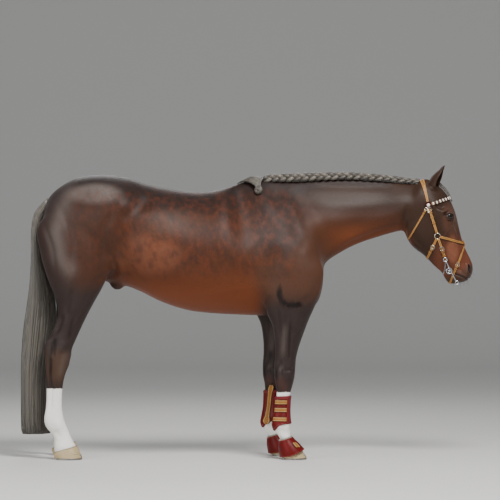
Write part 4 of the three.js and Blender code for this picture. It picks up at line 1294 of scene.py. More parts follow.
def directions(path, closed):
    if closed:
        return unit(np.roll(path, -1, axis=0) - np.roll(path, 1, axis=0))
    return unit(np.gradient(path, axis=0))


def lengths(path):
    return np.concatenate([[0], np.cumsum(np.linalg.norm(np.diff(path, axis=0), axis=1))])


def strap(path, aside, outwards, wide, thick, closed=False, columns=20):
    """A flat strap with rounded edges along a path, and how far each point is along, across and outside it.

    Its profile is (wide / 2) cos^0.35 along aside and (thick / 2) sin^0.7 along outwards, with their signs.
    """
    across = boxed(np.cos(angles(columns)), 0.35)
    height = boxed(np.sin(angles(columns)), 0.7)
    wide = np.broadcast_to(wide, len(path))[:, None, None]
    aside, outwards = (np.broadcast_to(v, path.shape)[:, None, :] for v in (aside, outwards))
    grid = path[:, None, :] + (wide * across[:, None] * aside + thick * height[:, None] * outwards) / 2
    return (looped(grid) if closed else capped(grid)), strap_values(path, across, height, closed)


def strap_values(path, across, height, closed=False):
    """How far each point of a strap is along it, across it and, as 0 or 1, on its outside."""
    ends = [] if closed else [0, 0]
    return {
        "along": np.concatenate([np.repeat(lengths(path), len(across)), ends]),
        "across": np.concatenate([np.tile(across, len(path)), ends]),
        "outer": np.concatenate([np.tile((height > 0) * 1.0, len(path)), ends]),
    }


def tube(path, radius, over=(0, 1, 0), closed=False, columns=8, ribs=0.0):
    """A round rod along a path; over is the direction that its rings start square to. Ribs groove it."""
    along = directions(path, closed)
    aside = unit(np.cross(along, over))
    up = np.cross(aside, along)
    angle = angles(columns)
    radius = np.broadcast_to(radius, len(path))[:, None, None]
    ring = np.cos(angle)[:, None] * aside[:, None, :] + np.sin(angle)[:, None] * up[:, None, :]
    grid = path[:, None, :] + radius * ring * (1 + ribs * np.cos(np.arange(columns) * np.pi))[:, None]
    return (looped(grid) if closed else capped(grid)), {}


def circle(centre, radius, first, second, count=40, boxy=1.0):
    """Points round a circle that starts at the first direction; boxy below 1 squares it."""
    a, b = np.broadcast_to(radius, 2)
    x = a * boxed(np.cos(angles(count)), boxy)
    y = b * boxed(np.sin(angles(count)), boxy)
    return np.asarray(centre) + x[:, None] * np.asarray(first) + y[:, None] * np.asarray(second)


def turned(at, axis, aside, rings, around=24, boxy=1.0):
    """A body of rings round an axis: each is its radius and its height along the axis, in millimetres."""
    other = np.cross(axis, aside)
    grid = [circle(at + np.asarray(axis) * h * MM, r * MM, aside, other, around, boxy) for r, h in rings]
    return capped(np.array(grid)), {}


def gathered(name, parts):
    """One mesh from many parts, each a shape with values for its points; a value that a part lacks is 0."""
    keys = sorted({key for _, values in parts for key in values})
    mesh = mesh_of(name, joined([outward(shape) for shape, _ in parts]))
    columns = {
        key: np.concatenate(
            [np.broadcast_to(values.get(key, 0.0), len(shape[0])) for shape, values in parts]
        )
        for key in keys
    }
    return with_values(mesh, **columns)


def add(name, parts, material, slot, *nodes):
    """A finished piece of many parts."""
    dressed(gathered(name, parts), material, slot, *nodes)


# ------------------------------------------------------------------ where things lie on the skin
def skin_arrays():
    """The finished skin's points, normals, triangles and its place on the bake map at each corner."""
    mesh = bpy.data.objects["horse_skin"].data
    tris = corner_vertices(mesh).reshape(-1, 3)
    flat = read(mesh.uv_layers["OFBake"].data, "uv", (-1, 2)).reshape(-1, 3, 2)
    return points_of(mesh), normals_of(mesh), tris, flat.astype(float)


def skin_tree():
    points, _, tris, _ = skin_arrays()
    return BVHTree.FromPolygons(points.tolist(), tris.tolist(), all_triangles=True)


def met(tree, starts, way):
    """Where rays first meet the skin. A ray that meets nothing stops the script."""
    ways = np.broadcast_to(way, starts.shape)
    hits = [tree.ray_cast(Vector(p), Vector(w))[0] for p, w in zip(starts, ways)]
    if None in hits:
        raise RuntimeError("a strap's path runs off the skin")
    return np.array([list(hit) for hit in hits])


def eased(path, closed, rounds=6):
    """The path drawn taut: each point moves to the mean of itself and its neighbours, again and again."""
    for _ in range(rounds):
        if closed:
            path = (np.roll(path, 1, axis=0) + 2 * path + np.roll(path, -1, axis=0)) / 4
        else:
            path = np.concatenate([path[:1], (path[:-2] + 2 * path[1:-1] + path[2:]) / 4, path[-1:]])
    return path


def laid(tree, starts, way, aside, wide, rise, closed=False):
    """A strap's path on the skin and its sideways and outward directions, from its middle and both edges."""
    low, mid, high = (met(tree, starts + aside * (k * wide / 2), way) for k in (-0.8, 0, 0.8))
    path = eased(mid, closed)
    across = unit(eased(high - low, closed))
    out = unit(np.cross(directions(path, closed), across))
    out *= np.where((out * np.broadcast_to(way, out.shape)).sum(1) > 0, -1, 1)[:, None]
    lift = np.maximum(((eased((low + high) / 2, closed) - path) * out).sum(1), 0)
    return path + out * (rise + lift[:, None]), across, out


def over_head(tree, start, end, wide, rise, turn=(-90, 90), count=72):
    """A path round the head in the plane that holds two points [x, z] and the way across the horse.

    The rays run in towards the first point from every side that the turn, in degrees, gives.
    """
    start, end = (np.array([p[0], 0, p[1]]) * MM for p in (start, end))
    ahead = unit(end - start)
    aside = np.cross(ahead, (0, 1, 0))
    closed = turn[1] - turn[0] >= 360
    angle = np.radians(np.linspace(*turn, count, endpoint=not closed))[:, None]
    way = np.cos(angle) * ahead + np.sin(angle) * np.array([0, 1, 0])
    return laid(tree, start + way * 0.4, -way, aside, wide, rise, closed)


def down_side(tree, start, end, side, wide, rise, count=24):
    """A path down one side of the head from one point [x, z] to another."""
    start, end = (np.array([p[0], 400 * side, p[1]]) * MM for p in (start, end))
    starts = start + np.linspace(0, 1, count)[:, None] * (end - start)
    return laid(tree, starts, np.array([0, -side, 0]), np.cross(unit(end - start), (0, 1, 0)), wide, rise)


def scattered(count, weight, rng):
    """Random places on the skin, with their normals and their places on the bake map.

    A triangle is drawn by its area times its weight, and the place in it is uniform: with a and b in 0..1,
    the corners weigh 1 - sqrt a, sqrt a (1 - b) and sqrt a b.
    """
    points, normals, tris, flat = skin_arrays()
    a, b, c = (points[tris[:, k]] for k in range(3))
    middle = (a + b + c) / 3
    area = np.linalg.norm(np.cross(b - a, c - a), axis=1) * weight(middle, normals[tris].mean(axis=1))
    pick = np.searchsorted(np.cumsum(area) / area.sum(), rng.random(count)).clip(0, len(tris) - 1)
    u, v = np.sqrt(rng.random(count)), rng.random(count)
    share = np.stack([1 - u, u * (1 - v), u * v], -1)[..., None]
    corners = tris[pick]
    roots, ways = (points[corners] * share).sum(1), (normals[corners] * share).sum(1)
    return roots, unit(ways), (flat[pick] * share).sum(1)


# ------------------------------------------------------------------ hair
TUFT_PATCH = 0.003  # the side of one hair's patch on the bake map
ROOT_DEPTH = 0.0006  # how deep a short hair's root lies in the skin


def locks(paths, radii, aside, places, flat=0.5):
    """Tapered hairs with closed ends along many paths, each a row of three-cornered rings.

    A corner is the path's point plus radius (cos a * aside + flat sin a * over), where over stands square to
    the hair and to aside. On the bake map each hair is one patch round the place of its root.
    """
    count, rows = paths.shape[:2]
    along = unit(np.gradient(paths, axis=1))
    aside = np.broadcast_to(aside[:, None, :], paths.shape)
    aside = unit(aside - along * (along * aside).sum(2, keepdims=True))
    over = np.cross(along, aside)
    angle = angles(3)[:, None]
    ring = np.cos(angle) * aside[:, :, None, :] + flat * np.sin(angle) * over[:, :, None, :]
    points = (paths[:, :, None, :] + radii[..., None, None] * ring).reshape(-1, 3)
    step = (np.arange(count) * rows * 3)[:, None, None]
    quads = (band(rows, 3)[None] + step).reshape(-1, 4)
    last = (rows - 1) * 3
    caps = (np.array([[0, 1, 2], [last, last + 2, last + 1]])[None] + step).reshape(-1, 3)
    level = np.linspace(-0.5, 0.5, rows)
    patch = np.stack(np.broadcast_arrays(0.5 * np.cos(angle).T, level[:, None]), -1) * TUFT_PATCH
    flat_map = (places[:, None, None, :] + patch[None]).reshape(-1, 2)
    return (points, quads, caps), np.clip(flat_map, 0, 1)


def hair_mesh(name, hairs, **values):
    """A mesh of hairs with their bake map and values: each hair's value goes to all its points."""
    shape, flat_map = hairs
    mesh = mesh_of(name, outward(shape))
    each = len(shape[0]) // len(next(iter(values.values())))
    with_values(mesh, **{key: np.repeat(value, each, axis=0) for key, value in values.items()})
    return set_bake_map(mesh, flat_map[corner_vertices(mesh)])


def add_hairs(name, hairs, tones, material, *nodes):
    """A finished piece of long hairs, each with its own tone."""
    dressed(hair_mesh(name, hairs, tone=tones), material, "long_hair", *nodes)


def lie(points, kind):
    """The way the coat lies: back and down on the body, down on the legs, and down the face."""
    body = np.tile((-1.0, 0, -0.45), (len(points), 1))
    leg, face = kind["leg"][:, None], kind["face"][:, None]
    way = body * (1 - leg) + np.array([-0.12, 0, -1.0]) * leg
    return way * (1 - face) + np.array([0.42, 0, -0.9]) * face


def fur(name, count, weight, length, width, lift, seed, spread=0.25, rows=4, way=None):
    """Short hairs over the skin, where the weight lets them: each rises by lift and bends along the coat."""
    rng = np.random.default_rng(seed)
    roots, normals, places = scattered(count, weight, rng)
    kind = markings(roots, normals)
    way = lie(roots, kind) if way is None else way(roots, normals)
    way = way + spread * rng.normal(size=way.shape)
    way = unit(way - normals * (way * normals).sum(1, keepdims=True))
    long = length * rng.uniform(0.65, 1.2, count)
    if length > 0.006:
        long = long * (0.55 + 0.45 * smooth(0.0, 0.5, 1 - kind["face"]))
    t = np.linspace(0, 1, rows)[None, :, None]
    rise = lift * rng.uniform(0.6, 1.3, count)[:, None, None]
    paths = roots[:, None, :] - normals[:, None, :] * ROOT_DEPTH
    paths = paths + long[:, None, None] * (
        t * way[:, None, :] + rise * (t - 0.45 * t**2) * normals[:, None, :]
    )
    taper = np.array([1.0, 0.9, 0.6, 0.08]) if rows == 4 else np.linspace(1, 0.1, rows) ** 0.7
    radii = width * rng.uniform(0.7, 1.2, count)[:, None] * taper
    hairs = locks(paths, radii, np.cross(normals, way), places)
    mesh = hair_mesh(name, hairs, **kind)
    mesh.normals_split_custom_set_from_vertices(np.repeat(normals, rows * 3, axis=0).tolist())
    return mesh


HAIR_DARK = "#35302c"
HAIR_MID = "#635d53"
HAIR_LIGHT = "#8e867a"


def hair_tones(count, rng, lightness=0.5):
    """Silver-grey tones: most hairs are near the middle one, and a few are darker or lighter."""
    t = np.clip(rng.normal(lightness, 0.22, count), 0, 1)
    dark, mid, light = (np.array(linear(c)[:3]) for c in (HAIR_DARK, HAIR_MID, HAIR_LIGHT))
    low = dark + (mid - dark) * np.clip(2 * t, 0, 1)[:, None]
    return low + (light - low) * np.clip(2 * t - 1, 0, 1)[:, None]


def cells(count):
    """Places of that many roots on a square map, in rows, so that no two hairs' patches share a spot."""
    side = math.ceil(math.sqrt(count))
    index = np.arange(count)
    return (np.stack([index % side, index // side], -1) + 0.5) / side


def tail_hairs(count, rng):
    """Hairs from the dock that fill the tail: each clump shares an angle and a depth, and all hang down.

    A hair at depth d and angle a is the middle of the tail's section plus d times the way from there to the
    section's edge at a. Its end is cut off level with the others, within a few millimetres.
    """
    rows, clumps = 18, 90
    which = rng.integers(0, clumps, count)
    base = rng.uniform(0, 2 * np.pi, clumps)[which]
    depth = np.sqrt(rng.uniform(0.3, 1.0, clumps))[which]
    t = np.linspace(0, 1, rows)[None, :]
    loose = rng.normal(0, 1, (count, 1))
    waves = rng.uniform(0.6, 1.5, clumps)[which][:, None]
    wave = 0.05 * np.sin(2 * np.pi * (t * waves + rng.random(clumps)[which][:, None]))
    angle = base[:, None] + loose * (0.34 - 0.16 * t) + wave
    deep = depth[:, None] + rng.normal(0, 0.12, (count, 1)) * (1 - 0.3 * t) + 0.6 * wave
    deep = np.clip(deep, 0.05, 0.985)
    start = rng.uniform(0.0, 1.8, (count, 1)) * (rng.random((count, 1)) < 0.6)
    last = len(TAIL) - 1
    end = last - 0.62 + 0.12 * rng.normal(0, 0.5, (count, 1)) - 0.25 * (rng.random((count, 1)) < 0.12)
    steps = start + (end - start) * t
    edge = section(TAIL, steps, angle)
    middle = (section(TAIL, steps, angle * 0) + section(TAIL, steps, angle * 0 + np.pi)) / 2
    grown = smooth(-0.02, 0.16, t)
    paths = middle + (edge - middle) * (deep * (0.86 + 0.14 * grown))[..., None]
    taper = np.interp(t[0], [0, 0.1, 0.8, 1], [0.7, 1, 0.85, 0.3])
    radii = 0.0021 * rng.uniform(0.6, 1.25, (count, 1)) * taper
    aside = unit(np.cross(paths[:, 2] - middle[:, 2], (0, 0, 1)) + 1e-9)
    return locks(paths, radii, aside, cells(count), 0.7)


RIBS = 0.03  # how deep the grooves between a twist's hairs are, as a share of its radius


def plait(stations, start, end, lobes, columns=32, rows_per_lobe=14):
    """Three strands plaited along a body: at phase p each lies A sin p up its section and B sin 2p across.

    The strands are a third of a turn apart, and each crosses over the next, which gives one lobe for each
    third of a turn on either edge.
    """
    parts = []
    fine = np.linspace(start, end, 600)
    far = lengths((section(stations, fine, fine * 0) + section(stations, fine, fine * 0 + np.pi)) / 2)
    steps = np.interp(np.linspace(0, far[-1], lobes * rows_per_lobe), far, fine)
    top, low = section(stations, steps, steps * 0), section(stations, steps, steps * 0 + np.pi)
    one, other = (section(stations, steps, steps * 0 + turn) for turn in (np.pi / 2, -np.pi / 2))
    wide = np.abs(one - other)[:, 1]
    middle, half, up = (top + low) / 2, np.linalg.norm(top - low, axis=1) / 2, unit(top - low)
    phase = np.linspace(0, lobes * 2 * np.pi / 3, len(steps))
    for k in range(3):
        p = phase + k * 2 * np.pi / 3
        path = middle + up * (0.46 * half * np.sin(p))[:, None]
        path += np.array([0, 0.46, 0]) * (wide / 2 * np.sin(2 * p))[:, None]
        radius = half * 0.46 * (1 - 0.12 * np.abs(np.sin(p)))
        parts.append(tube(path, radius, columns=columns, ribs=RIBS))
    return parts


# ------------------------------------------------------------------ where the tack lies, in millimetres
BROW_JOINT = (1061, 1482)
CHEEK_RING = (1114, 1302)
NOSE_CROSS = (1280, 1256)
BIT_RING = (1168, 1150)
BIT_MOUTH = (1184, 1098)
BIT_OUT = 66
SHANK_END = (1226, 1036)
CROWN_TOP = (1022, 1660)
BROW_FRONT = (1215, 1532)
THROAT_UNDER = (925, 1240)
JAW_UNDER = (1046, 1140)
CHIN_UNDER = (1190, 1020)
STRAP_THICK = 4
BOOT_TOP = ((100, 364), (320, 374))
BOOT_BOTTOM = ((130, 160), (152, 161), (170, 183), (188, 198), (212, 205), (300, 211))
BOOT_STRAPS = (334, 290, 236)
LEFT_BOOT_UP = 22
BELL_TOP = ((150, 96), (340, 154))
BELL_EDGE = ((180, 13), (206, 14), (244, 21), (281, 32), (333, 57), (380, 82))
SIDES = (("right", -1), ("left", 1))


def towards(start, end, far):
    """The point [x, z] that far along the line from one point to another."""
    start, end = np.array(start, float), np.array(end, float)
    return start + unit(end - start) * far


def wrapped(stations, angle, share, low, high, grow, side=1, back=0.0):
    """Points on a leg's surface between two lines [x, z] of its side view, at shares of the way up.

    At each angle the leg meets each line where its height less the line's is 0. The station there is read
    from samples along the leg, and the shares run evenly between the two.
    """
    samples = 240
    steps = np.linspace(0, len(stations) - 1, samples)[:, None] * np.ones(len(angle))
    tall = section(stations, steps, angle * np.ones((samples, 1)), np.max(grow)) / MM

    def crossing(line):
        over = tall[..., 2] - np.interp(tall[..., 0], *zip(*line))
        return np.array([np.interp(0, over[::-1, k], steps[::-1, k]) for k in range(len(angle))])

    first, last = crossing(low), crossing(high)
    grow = np.broadcast_to(grow, share.shape)[:, None] * np.ones(len(angle))
    at = first + (last - first) * share[:, None]
    return mirrored(section(stations, at, angle * np.ones((len(share), 1)), grow), side, back)


def cuff(stations, low, high, inner, outer, rim, side, back, around=120, rows=36, front=0.0):
    """A sleeve round a leg between two lines: up its outside, over a rounded rim, and down its inside.

    The profile goes round: its share of the height and its growth are listed together, and the ring of
    profiles closes both ways.
    """
    up = np.linspace(0, 1, rows)
    edge = 0.5 - 0.5 * np.cos(np.pi * np.clip(np.minimum(up, 1 - up) / 0.03, 0, 1))
    lip = rim * (swell(up, 0.035, 0.03) + swell(up, 0.965, 0.03))
    share = np.concatenate([up, up[::-1]])
    grow = np.concatenate([inner + (outer - inner) * (0.35 + 0.65 * edge) + lip, np.full(rows, inner)])
    angle = angles(around)
    grid = wrapped(stations, angle, share, low, high, grow, side, back).transpose(1, 0, 2)
    ends = smooth(0.078, 0.062, np.minimum(up, 1 - up)) * (rim > 0)
    bound = np.tile(np.concatenate([ends, np.zeros(rows)]), (around, 1))
    turned_from = np.abs((angle - 0.3 + np.pi) % (2 * np.pi) - np.pi)
    bound[:, :rows] = np.maximum(bound[:, :rows], front * smooth(0.66, 0.58, turned_from)[:, None])
    run = np.cumsum(np.linalg.norm(grid[:, 0] - np.roll(grid[:, 0], 1, axis=0), axis=1))
    return looped(grid), {"bound": bound.ravel(), "along": np.repeat(run, 2 * rows)}


def patch(stations, turns, heights, outline, grow, thick, side, back, rows=28, columns=20):
    """A pad on a leg's surface: a pillow whose half width at each height follows the outline's list."""
    t = np.linspace(0, 1, rows)
    half = spline(outline, t * (len(outline) - 1))
    across = boxed(np.cos(angles(columns)), 0.4)
    rise = boxed(np.sin(angles(columns)), 0.7)
    middle, wide = turns
    low, high = (((0, height), (400, height)) for height in heights)
    grid = np.empty((rows, columns, 3))
    for k in range(columns):
        ring = wrapped(
            stations, middle + wide * half * across[k], t, low, high,
            grow + thick * (0.5 + 0.5 * rise[k]), side, back,
        )
        grid[:, k] = ring[np.arange(rows), np.arange(rows)]
    return capped(grid), strap_values(grid[:, 0], across, rise)


def band_round(stations, turns, height, tall, grow, thick, side, back):
    """A strap round part of a leg at one height, from one angle to another."""
    angle = np.linspace(*turns, 30)
    lines = [((0, height + k), (400, height + k)) for k in (-tall / 2, tall / 2)]
    ends = wrapped(stations, angle, np.array([0.0, 0.5, 1.0]), *lines, grow + thick / 2, side, back)
    out = wrapped(stations, angle, np.array([0.5]), *lines, grow + thick / 2 + 5, side, back)[0] - ends[1]
    aside = unit(ends[2] - ends[0])
    return strap(ends[1], aside, unit(out), tall * MM, thick * MM)


def buckle(at, along, out, wide):
    """A roller buckle over a strap: a rounded frame, its tongue, and the roller that the tongue rests on."""
    thick = 0.0024
    aside = np.cross(along, out)
    frame_path = circle(at + out * 0.002, (wide * 0.62, wide * 0.55), along, aside, 36, 0.5)
    tongue = np.linspace(-0.52, 0.62, 8)[:, None] * wide * along + at + out * 0.0034
    bar = np.linspace(-0.5, 0.5, 6)[:, None] * wide * aside + at + out * 0.002 - along * wide * 0.56
    return [
        tube(frame_path, thick / 2, out, True, 10),
        tube(tongue, thick * 0.36, out),
        tube(bar, thick * 0.7, out, False, 10),
    ]


def keeper(at, along, out, wide, thick):
    """A leather loop that goes round a strap and holds its free end."""
    aside = np.cross(along, out)
    path = circle(at, (wide / 2 + 0.0014, thick / 2 + 0.0018), aside, out, 36, 0.45)
    return strap(path, np.broadcast_to(along, path.shape), unit(path - at), 0.007, 0.0016, True, 12)


def frame_at(route, place):
    """A strap's point at a share of its length, and its directions along it and outwards."""
    path, _, out, _ = route
    k = int(round(place * (len(path) - 1)))
    along = unit(directions(path, False)[k])
    return path[k], along, square_to(out[k], along)


def bridle_routes(tree):
    """Every strap's path over the skin, by name, with its width in metres."""
    def stud(aim):
        return towards(BROW_JOINT, aim, 10)

    def ring(aim):
        return towards(CHEEK_RING, aim, 15)

    rise = STRAP_THICK * MM / 2 + 0.0012
    routes = {}
    for k, shift in enumerate((-8, 8)):
        top = (CROWN_TOP[0] + shift, CROWN_TOP[1] + 0.25 * shift)
        routes[f"crown_{k}"] = (*over_head(tree, towards(BROW_JOINT, top, 8), top, 0.012, rise), 0.0125)
    routes["browband"] = (*over_head(tree, stud(BROW_FRONT), BROW_FRONT, 0.017, rise), 0.018)
    routes["throatlash"] = (*over_head(tree, stud(THROAT_UNDER), THROAT_UNDER, 0.011, rise), 0.0115)
    routes["nose_upper"] = (*over_head(tree, ring(NOSE_CROSS), NOSE_CROSS, 0.016, rise), 0.017)
    routes["jaw"] = (*over_head(tree, ring(JAW_UNDER), JAW_UNDER, 0.016, rise), 0.017)
    middle = (np.array(NOSE_CROSS) + CHIN_UNDER) / 2
    routes["nose_lower"] = (*over_head(tree, middle, CHIN_UNDER, 0.014, rise, (-180, 180), 120), 0.015)
    brow, bit = towards(BROW_JOINT, CHEEK_RING, 12), towards(BIT_RING, CHEEK_RING, 3)
    for name, side in SIDES:
        routes[f"cheek_{name}"] = (*down_side(tree, brow, ring(BROW_JOINT), side, 0.016, rise), 0.017)
        routes[f"bit_{name}"] = (*down_side(tree, ring(BIT_RING), bit, side, 0.016, rise), 0.0165)
    return routes


def bridle_leather_parts(routes):
    parts = []
    for name, (path, across, out, wide) in routes.items():
        parts.append(strap(path, across, out, wide, STRAP_THICK * MM, name == "nose_lower"))
        if name.startswith("cheek"):
            doubled = slice(2, 15)
            parts.append(strap(
                path[doubled] + out[doubled] * 0.0036, across[doubled], out[doubled], wide * 0.98, 0.0032))
    for name, place, wide in KEEPERS:
        at, along, up = frame_at(routes[name], place)
        parts.append(keeper(at + up * 0.001, along, up, wide, 0.0075))
    at, along, up = frame_at(routes["nose_upper"], 0.5)
    parts.append(turned(at + up * 0.0015, up, along, NOSE_DISC, 32))
    return parts


# Rings of turned plates, from their backs to their fronts: each is a radius and a height, in millimetres.
NOSE_DISC = ((3, -2), (15, -1), (17, 2), (15.5, 4.5), (4, 5.4))
BROW_PLATE = ((3, -5), (19, -4), (20.5, 0), (20, 3), (17.5, 4), (15.5, 2.6), (2, 2.6))
BROW_PEARL = ((9, -1), (9.5, 1.5), (8, 4), (4.5, 5.8), (1, 6.2))
NAIL_END = ((2.6, -1), (2.6, 0.6), (1.6, 1.1))
# Each strap's keepers and buckles: the strap, the share of its length, and how wide they are.
KEEPERS = [
    *((f"cheek_{name}", place, 0.017) for name, _ in SIDES for place in (0.22, 0.38, 0.6)),
    *((f"bit_{name}", place, 0.0165) for name, _ in SIDES for place in (0.56, 0.76)),
    *(("jaw", place, 0.017) for place in (0.25, 0.31, 0.69, 0.75)),
    *(("nose_lower", place, 0.015) for place in (0.30, 0.34, 0.66, 0.70)),
    *(("throatlash", place, 0.0115) for place in (0.1, 0.14, 0.86, 0.9)),
]
BUCKLES = [
    *((f"cheek_{name}", 0.1, 0.02) for name, _ in SIDES),
    *((f"bit_{name}", 0.42, 0.02) for name, _ in SIDES),
    ("jaw", 0.2, 0.02), ("jaw", 0.8, 0.02),
    ("nose_lower", 0.265, 0.018), ("nose_lower", 0.735, 0.018),
    ("throatlash", 0.06, 0.0145), ("throatlash", 0.94, 0.0145),
]


def bridle_metal_parts(tree, routes):
    """Buckles on the straps, and the two rings that the cheekpieces hang from."""
    parts = []
    for name, place, wide in BUCKLES:
        at, along, up = frame_at(routes[name], place)
        parts += buckle(at + up * 0.003, along, up, wide)
    for _, side in SIDES:
        at, out, ahead, up = stud_place(tree, CHEEK_RING, side)
        path = circle(at + out * 0.0035, 0.0165, ahead, up, 48)
        parts.append(tube(path, 0.0026, out, True, 12))
    return parts


def stud_place(tree, spot_at, side):
    """A point of the head's side and its outward, forward and upward directions."""
    around = ((0, 0), (14, 0), (0, 14), (-14, 0), (0, -14))
    starts = np.array([[spot_at[0] + a, 400 * side, spot_at[1] + b] for a, b in around]) * MM
    mid, east, north, west, south = met(tree, starts, np.array([0, -side, 0]))
    ahead, up = unit(east - west), unit(north - south)
    out = unit(np.cross(ahead, up)) * -side
    out = out * (1 if out[1] * side > 0 else -1)
    return mid, out, ahead, square_to(up, ahead)


def rosette_place(tree, side):
    """A rosette's middle, and its outward, upward and forward directions: it hangs a little turned."""
    at, out, ahead, up = stud_place(tree, BROW_JOINT, side)
    return at + out * 0.0045, out, unit(up * 0.96 + ahead * -0.26), unit(ahead * 0.96 + up * 0.26)


def rosette_parts(tree):
    """At each end of the browband: a square red-brown plate with a rim, and a tab that hangs below it."""
    parts = []
    for _, side in SIDES:
        at, out, along, aside = rosette_place(tree, side)
        parts.append(turned(at, out, aside, BROW_PLATE, 48, 0.55))
        path = at + aside * 0.01 - along * (np.linspace(14, 40, 8)[:, None] * MM)
        parts.append(strap(path, aside, out, 0.012, 0.0035))
    return parts


def pearl_parts(tree, routes):
    """The rosettes' pearls with the pearl tab below each, and every second bead of the browband."""
    pearls, beads = [], []
    for _, side in SIDES:
        at, out, along, aside = rosette_place(tree, side)
        pearls.append(turned(at + out * 0.003, out, aside, BROW_PEARL, 32, 0.8))
        path = at - aside * 0.009 - along * (np.linspace(18, 44, 8)[:, None] * MM)
        pearls.append(strap(path, aside, out, 0.009, 0.004))
    path, across, out, _ = routes["browband"]
    far = lengths(path)
    places = np.linspace(0.02, far[-1] - 0.02, int((far[-1] - 0.03) / 0.0115))
    rows = zip(read_along(places, far, path), read_along(places, far, out), read_along(places, far, across))
    for k, (at, up, side) in enumerate(rows):
        bead = bead_bar(at + unit(up) * 0.0035, unit(side), unit(up), 0.0185)
        (beads if k % 2 else pearls).append(bead)
    return pearls, beads


def read_along(places, far, path):
    """A path's points at places along it, where far is how far along it each of its own points is."""
    return np.stack([np.interp(places, far, column) for column in path.T], -1)


def bead_bar(at, aside, up, wide):
    """A long bead across the browband: a rod with rounded ends."""
    t = np.linspace(-1, 1, 9)
    path = at + (t * wide / 2)[:, None] * aside
    return tube(path, 0.0049 * np.sqrt(np.clip(1 - 0.96 * t**4, 0.05, 1)), up, False, 12)


def bit_parts(tree):
    """A bit: a bar through the mouth, at each end a shank with three rings, and a curb chain."""
    parts = []
    top, end = towards(BIT_RING, SHANK_END, -5), np.array(SHANK_END, float)
    bar = np.linspace(-BIT_OUT, BIT_OUT, 40)
    port = 6 * swell(bar, 0, 18)
    path = np.stack([BIT_MOUTH[0] - port * 0.3, bar, BIT_MOUTH[1] + port], -1) * MM
    parts.append(tube(path, 0.006 - 0.0015 * swell(bar, 0, 30), (0, 0, 1), columns=14))
    for _, side in SIDES:
        y = side * BIT_OUT
        t = np.linspace(0, 1, 24)[:, None]
        rod = np.concatenate([top + (end - top) * t, 0 * t], 1)[:, [0, 2, 1]]
        rod[:, 1] = y
        parts.append(tube(rod * MM, 0.0042 + 0.0012 * swell(t[:, 0], 0.45, 0.08), columns=12))
        for centre, radius, thick in (
            (towards(top, end, -10), 11, 3.3), (np.array([BIT_MOUTH[0] + 1, BIT_MOUTH[1]]), 16, 3.6),
            (towards(end, top, -8), 9, 3.0),
        ):
            at = np.array([centre[0], y, centre[1]]) * MM
            ring = circle(at, radius * MM, (1, 0, 0), (0, 0, 1))
            parts.append(tube(ring, thick * MM, closed=True, columns=12))
    return parts + chain_links(tree, towards(top, end, -4))


def chain_links(tree, hook):
    """The curb chain: rings in a row from shank to shank under the chin, each turned against the last."""
    under, _, _ = over_head(tree, (1168, 1128), (1146, 1040), 0.006, 0.003, (-62, 62), 60)
    ends = [np.array([[hook[0], side * BIT_OUT, hook[1]]]) * MM for side in (-1, 1)]
    chain = eased(np.concatenate([ends[0], under, ends[1]]), False, 2)
    far = lengths(chain)
    chain = read_along(np.linspace(0, far[-1], int(far[-1] / 0.0062)), far, chain)
    links = []
    for k, (at, way) in enumerate(zip(chain, directions(chain, False))):
        turn = unit(np.cross(way, (0.7, 0, 0.7) if k % 2 else (0.7, 0, -0.7)))
        ring = circle(at, (0.005, 0.0034), way, turn, 20, 0.8)
        links.append(tube(ring, 0.00115, np.cross(way, turn), True))
    return links


def hoof_part(stations, side, back):
    """A hoof: rings from the coronet to the ground, swelling and sinking a little as they grew."""
    steps, angle = rings_of(stations, 72, 60)
    t = steps / (len(stations) - 1)
    grow = 0.25 * np.sin(46 * t + 1.2 * np.sin(angle)) * smooth(0.05, 0.2, t) * smooth(1.0, 0.9, t)
    grow = grow + 2.0 * swell(t, 0.02, 0.06) - 0.6
    grid = mirrored(section(stations, steps, angle, grow), side, back)
    return capped(grid), {"along": np.concatenate([(1 - t).ravel(), [1, 0]])}


def nail_parts(stations, side, back):
    """Clenched nail ends in the wall of a hoof, three on each side of the toe."""
    parts = []
    for turn in (-0.95, -0.7, -0.45, 0.45, 0.7, 0.95):
        spots = section(stations, np.array([1.42, 1.42]), np.array([turn, turn]), np.array([0.0, 4.0]))
        at, above = mirrored(spots, side, back)
        out = unit(above - at)
        parts.append(turned(at - out * 0.0002, out, unit(np.cross(out, (0, 0, 1))), NAIL_END, 10, 0.5))
    return parts


def shoe_part(stations, side, back):
    """A horseshoe: a bar with rounded edges and a nail groove, bent round the toe and open at the heels."""
    first, second, half, _, out = stations[-1]
    count, columns = 90, 28
    arc = np.linspace(-0.8 * np.pi, 0.8 * np.pi, count)[:, None]
    a = 0.5 + 0.5 * boxed(np.cos(angles(columns)), 0.3)
    b = boxed(np.sin(angles(columns)), 0.3)
    groove = (b < -0.9) * (np.abs(a - 0.62) < 0.14) * (np.abs(arc) < 2.0) * 2.2
    long = (first[0] - second[0]) / 2 + 1.5
    reach_x, reach_y = long - 22 * (1 - a), half + 1 - 21 * (1 - a)
    x = (first[0] + second[0]) / 2 + reach_x * np.cos(arc) - back
    y = side * out + reach_y * np.sin(arc)
    z = 4.5 + 4.5 * b + groove
    return capped(np.stack(np.broadcast_arrays(x, y, z), -1) * MM), {}


def clip_part(stations, side, back):
    """The small clip drawn up from the toe of a shoe over the hoof's wall."""
    rows = np.linspace(1.5, 1.98, 8)
    wide = 0.19 * np.sqrt(1 - ((rows.max() - rows) / 0.55) ** 2)
    grid = []
    for step, half in zip(rows, wide):
        turn = np.linspace(-half, half, 7)
        outer = section(stations, np.full(7, step), turn, np.full(7, 2.2))
        inner = section(stations, np.full(7, step), turn[::-1], np.full(7, 0.0))
        grid.append(np.concatenate([outer, inner]))
    return capped(mirrored(np.array(grid), side, back)), {}


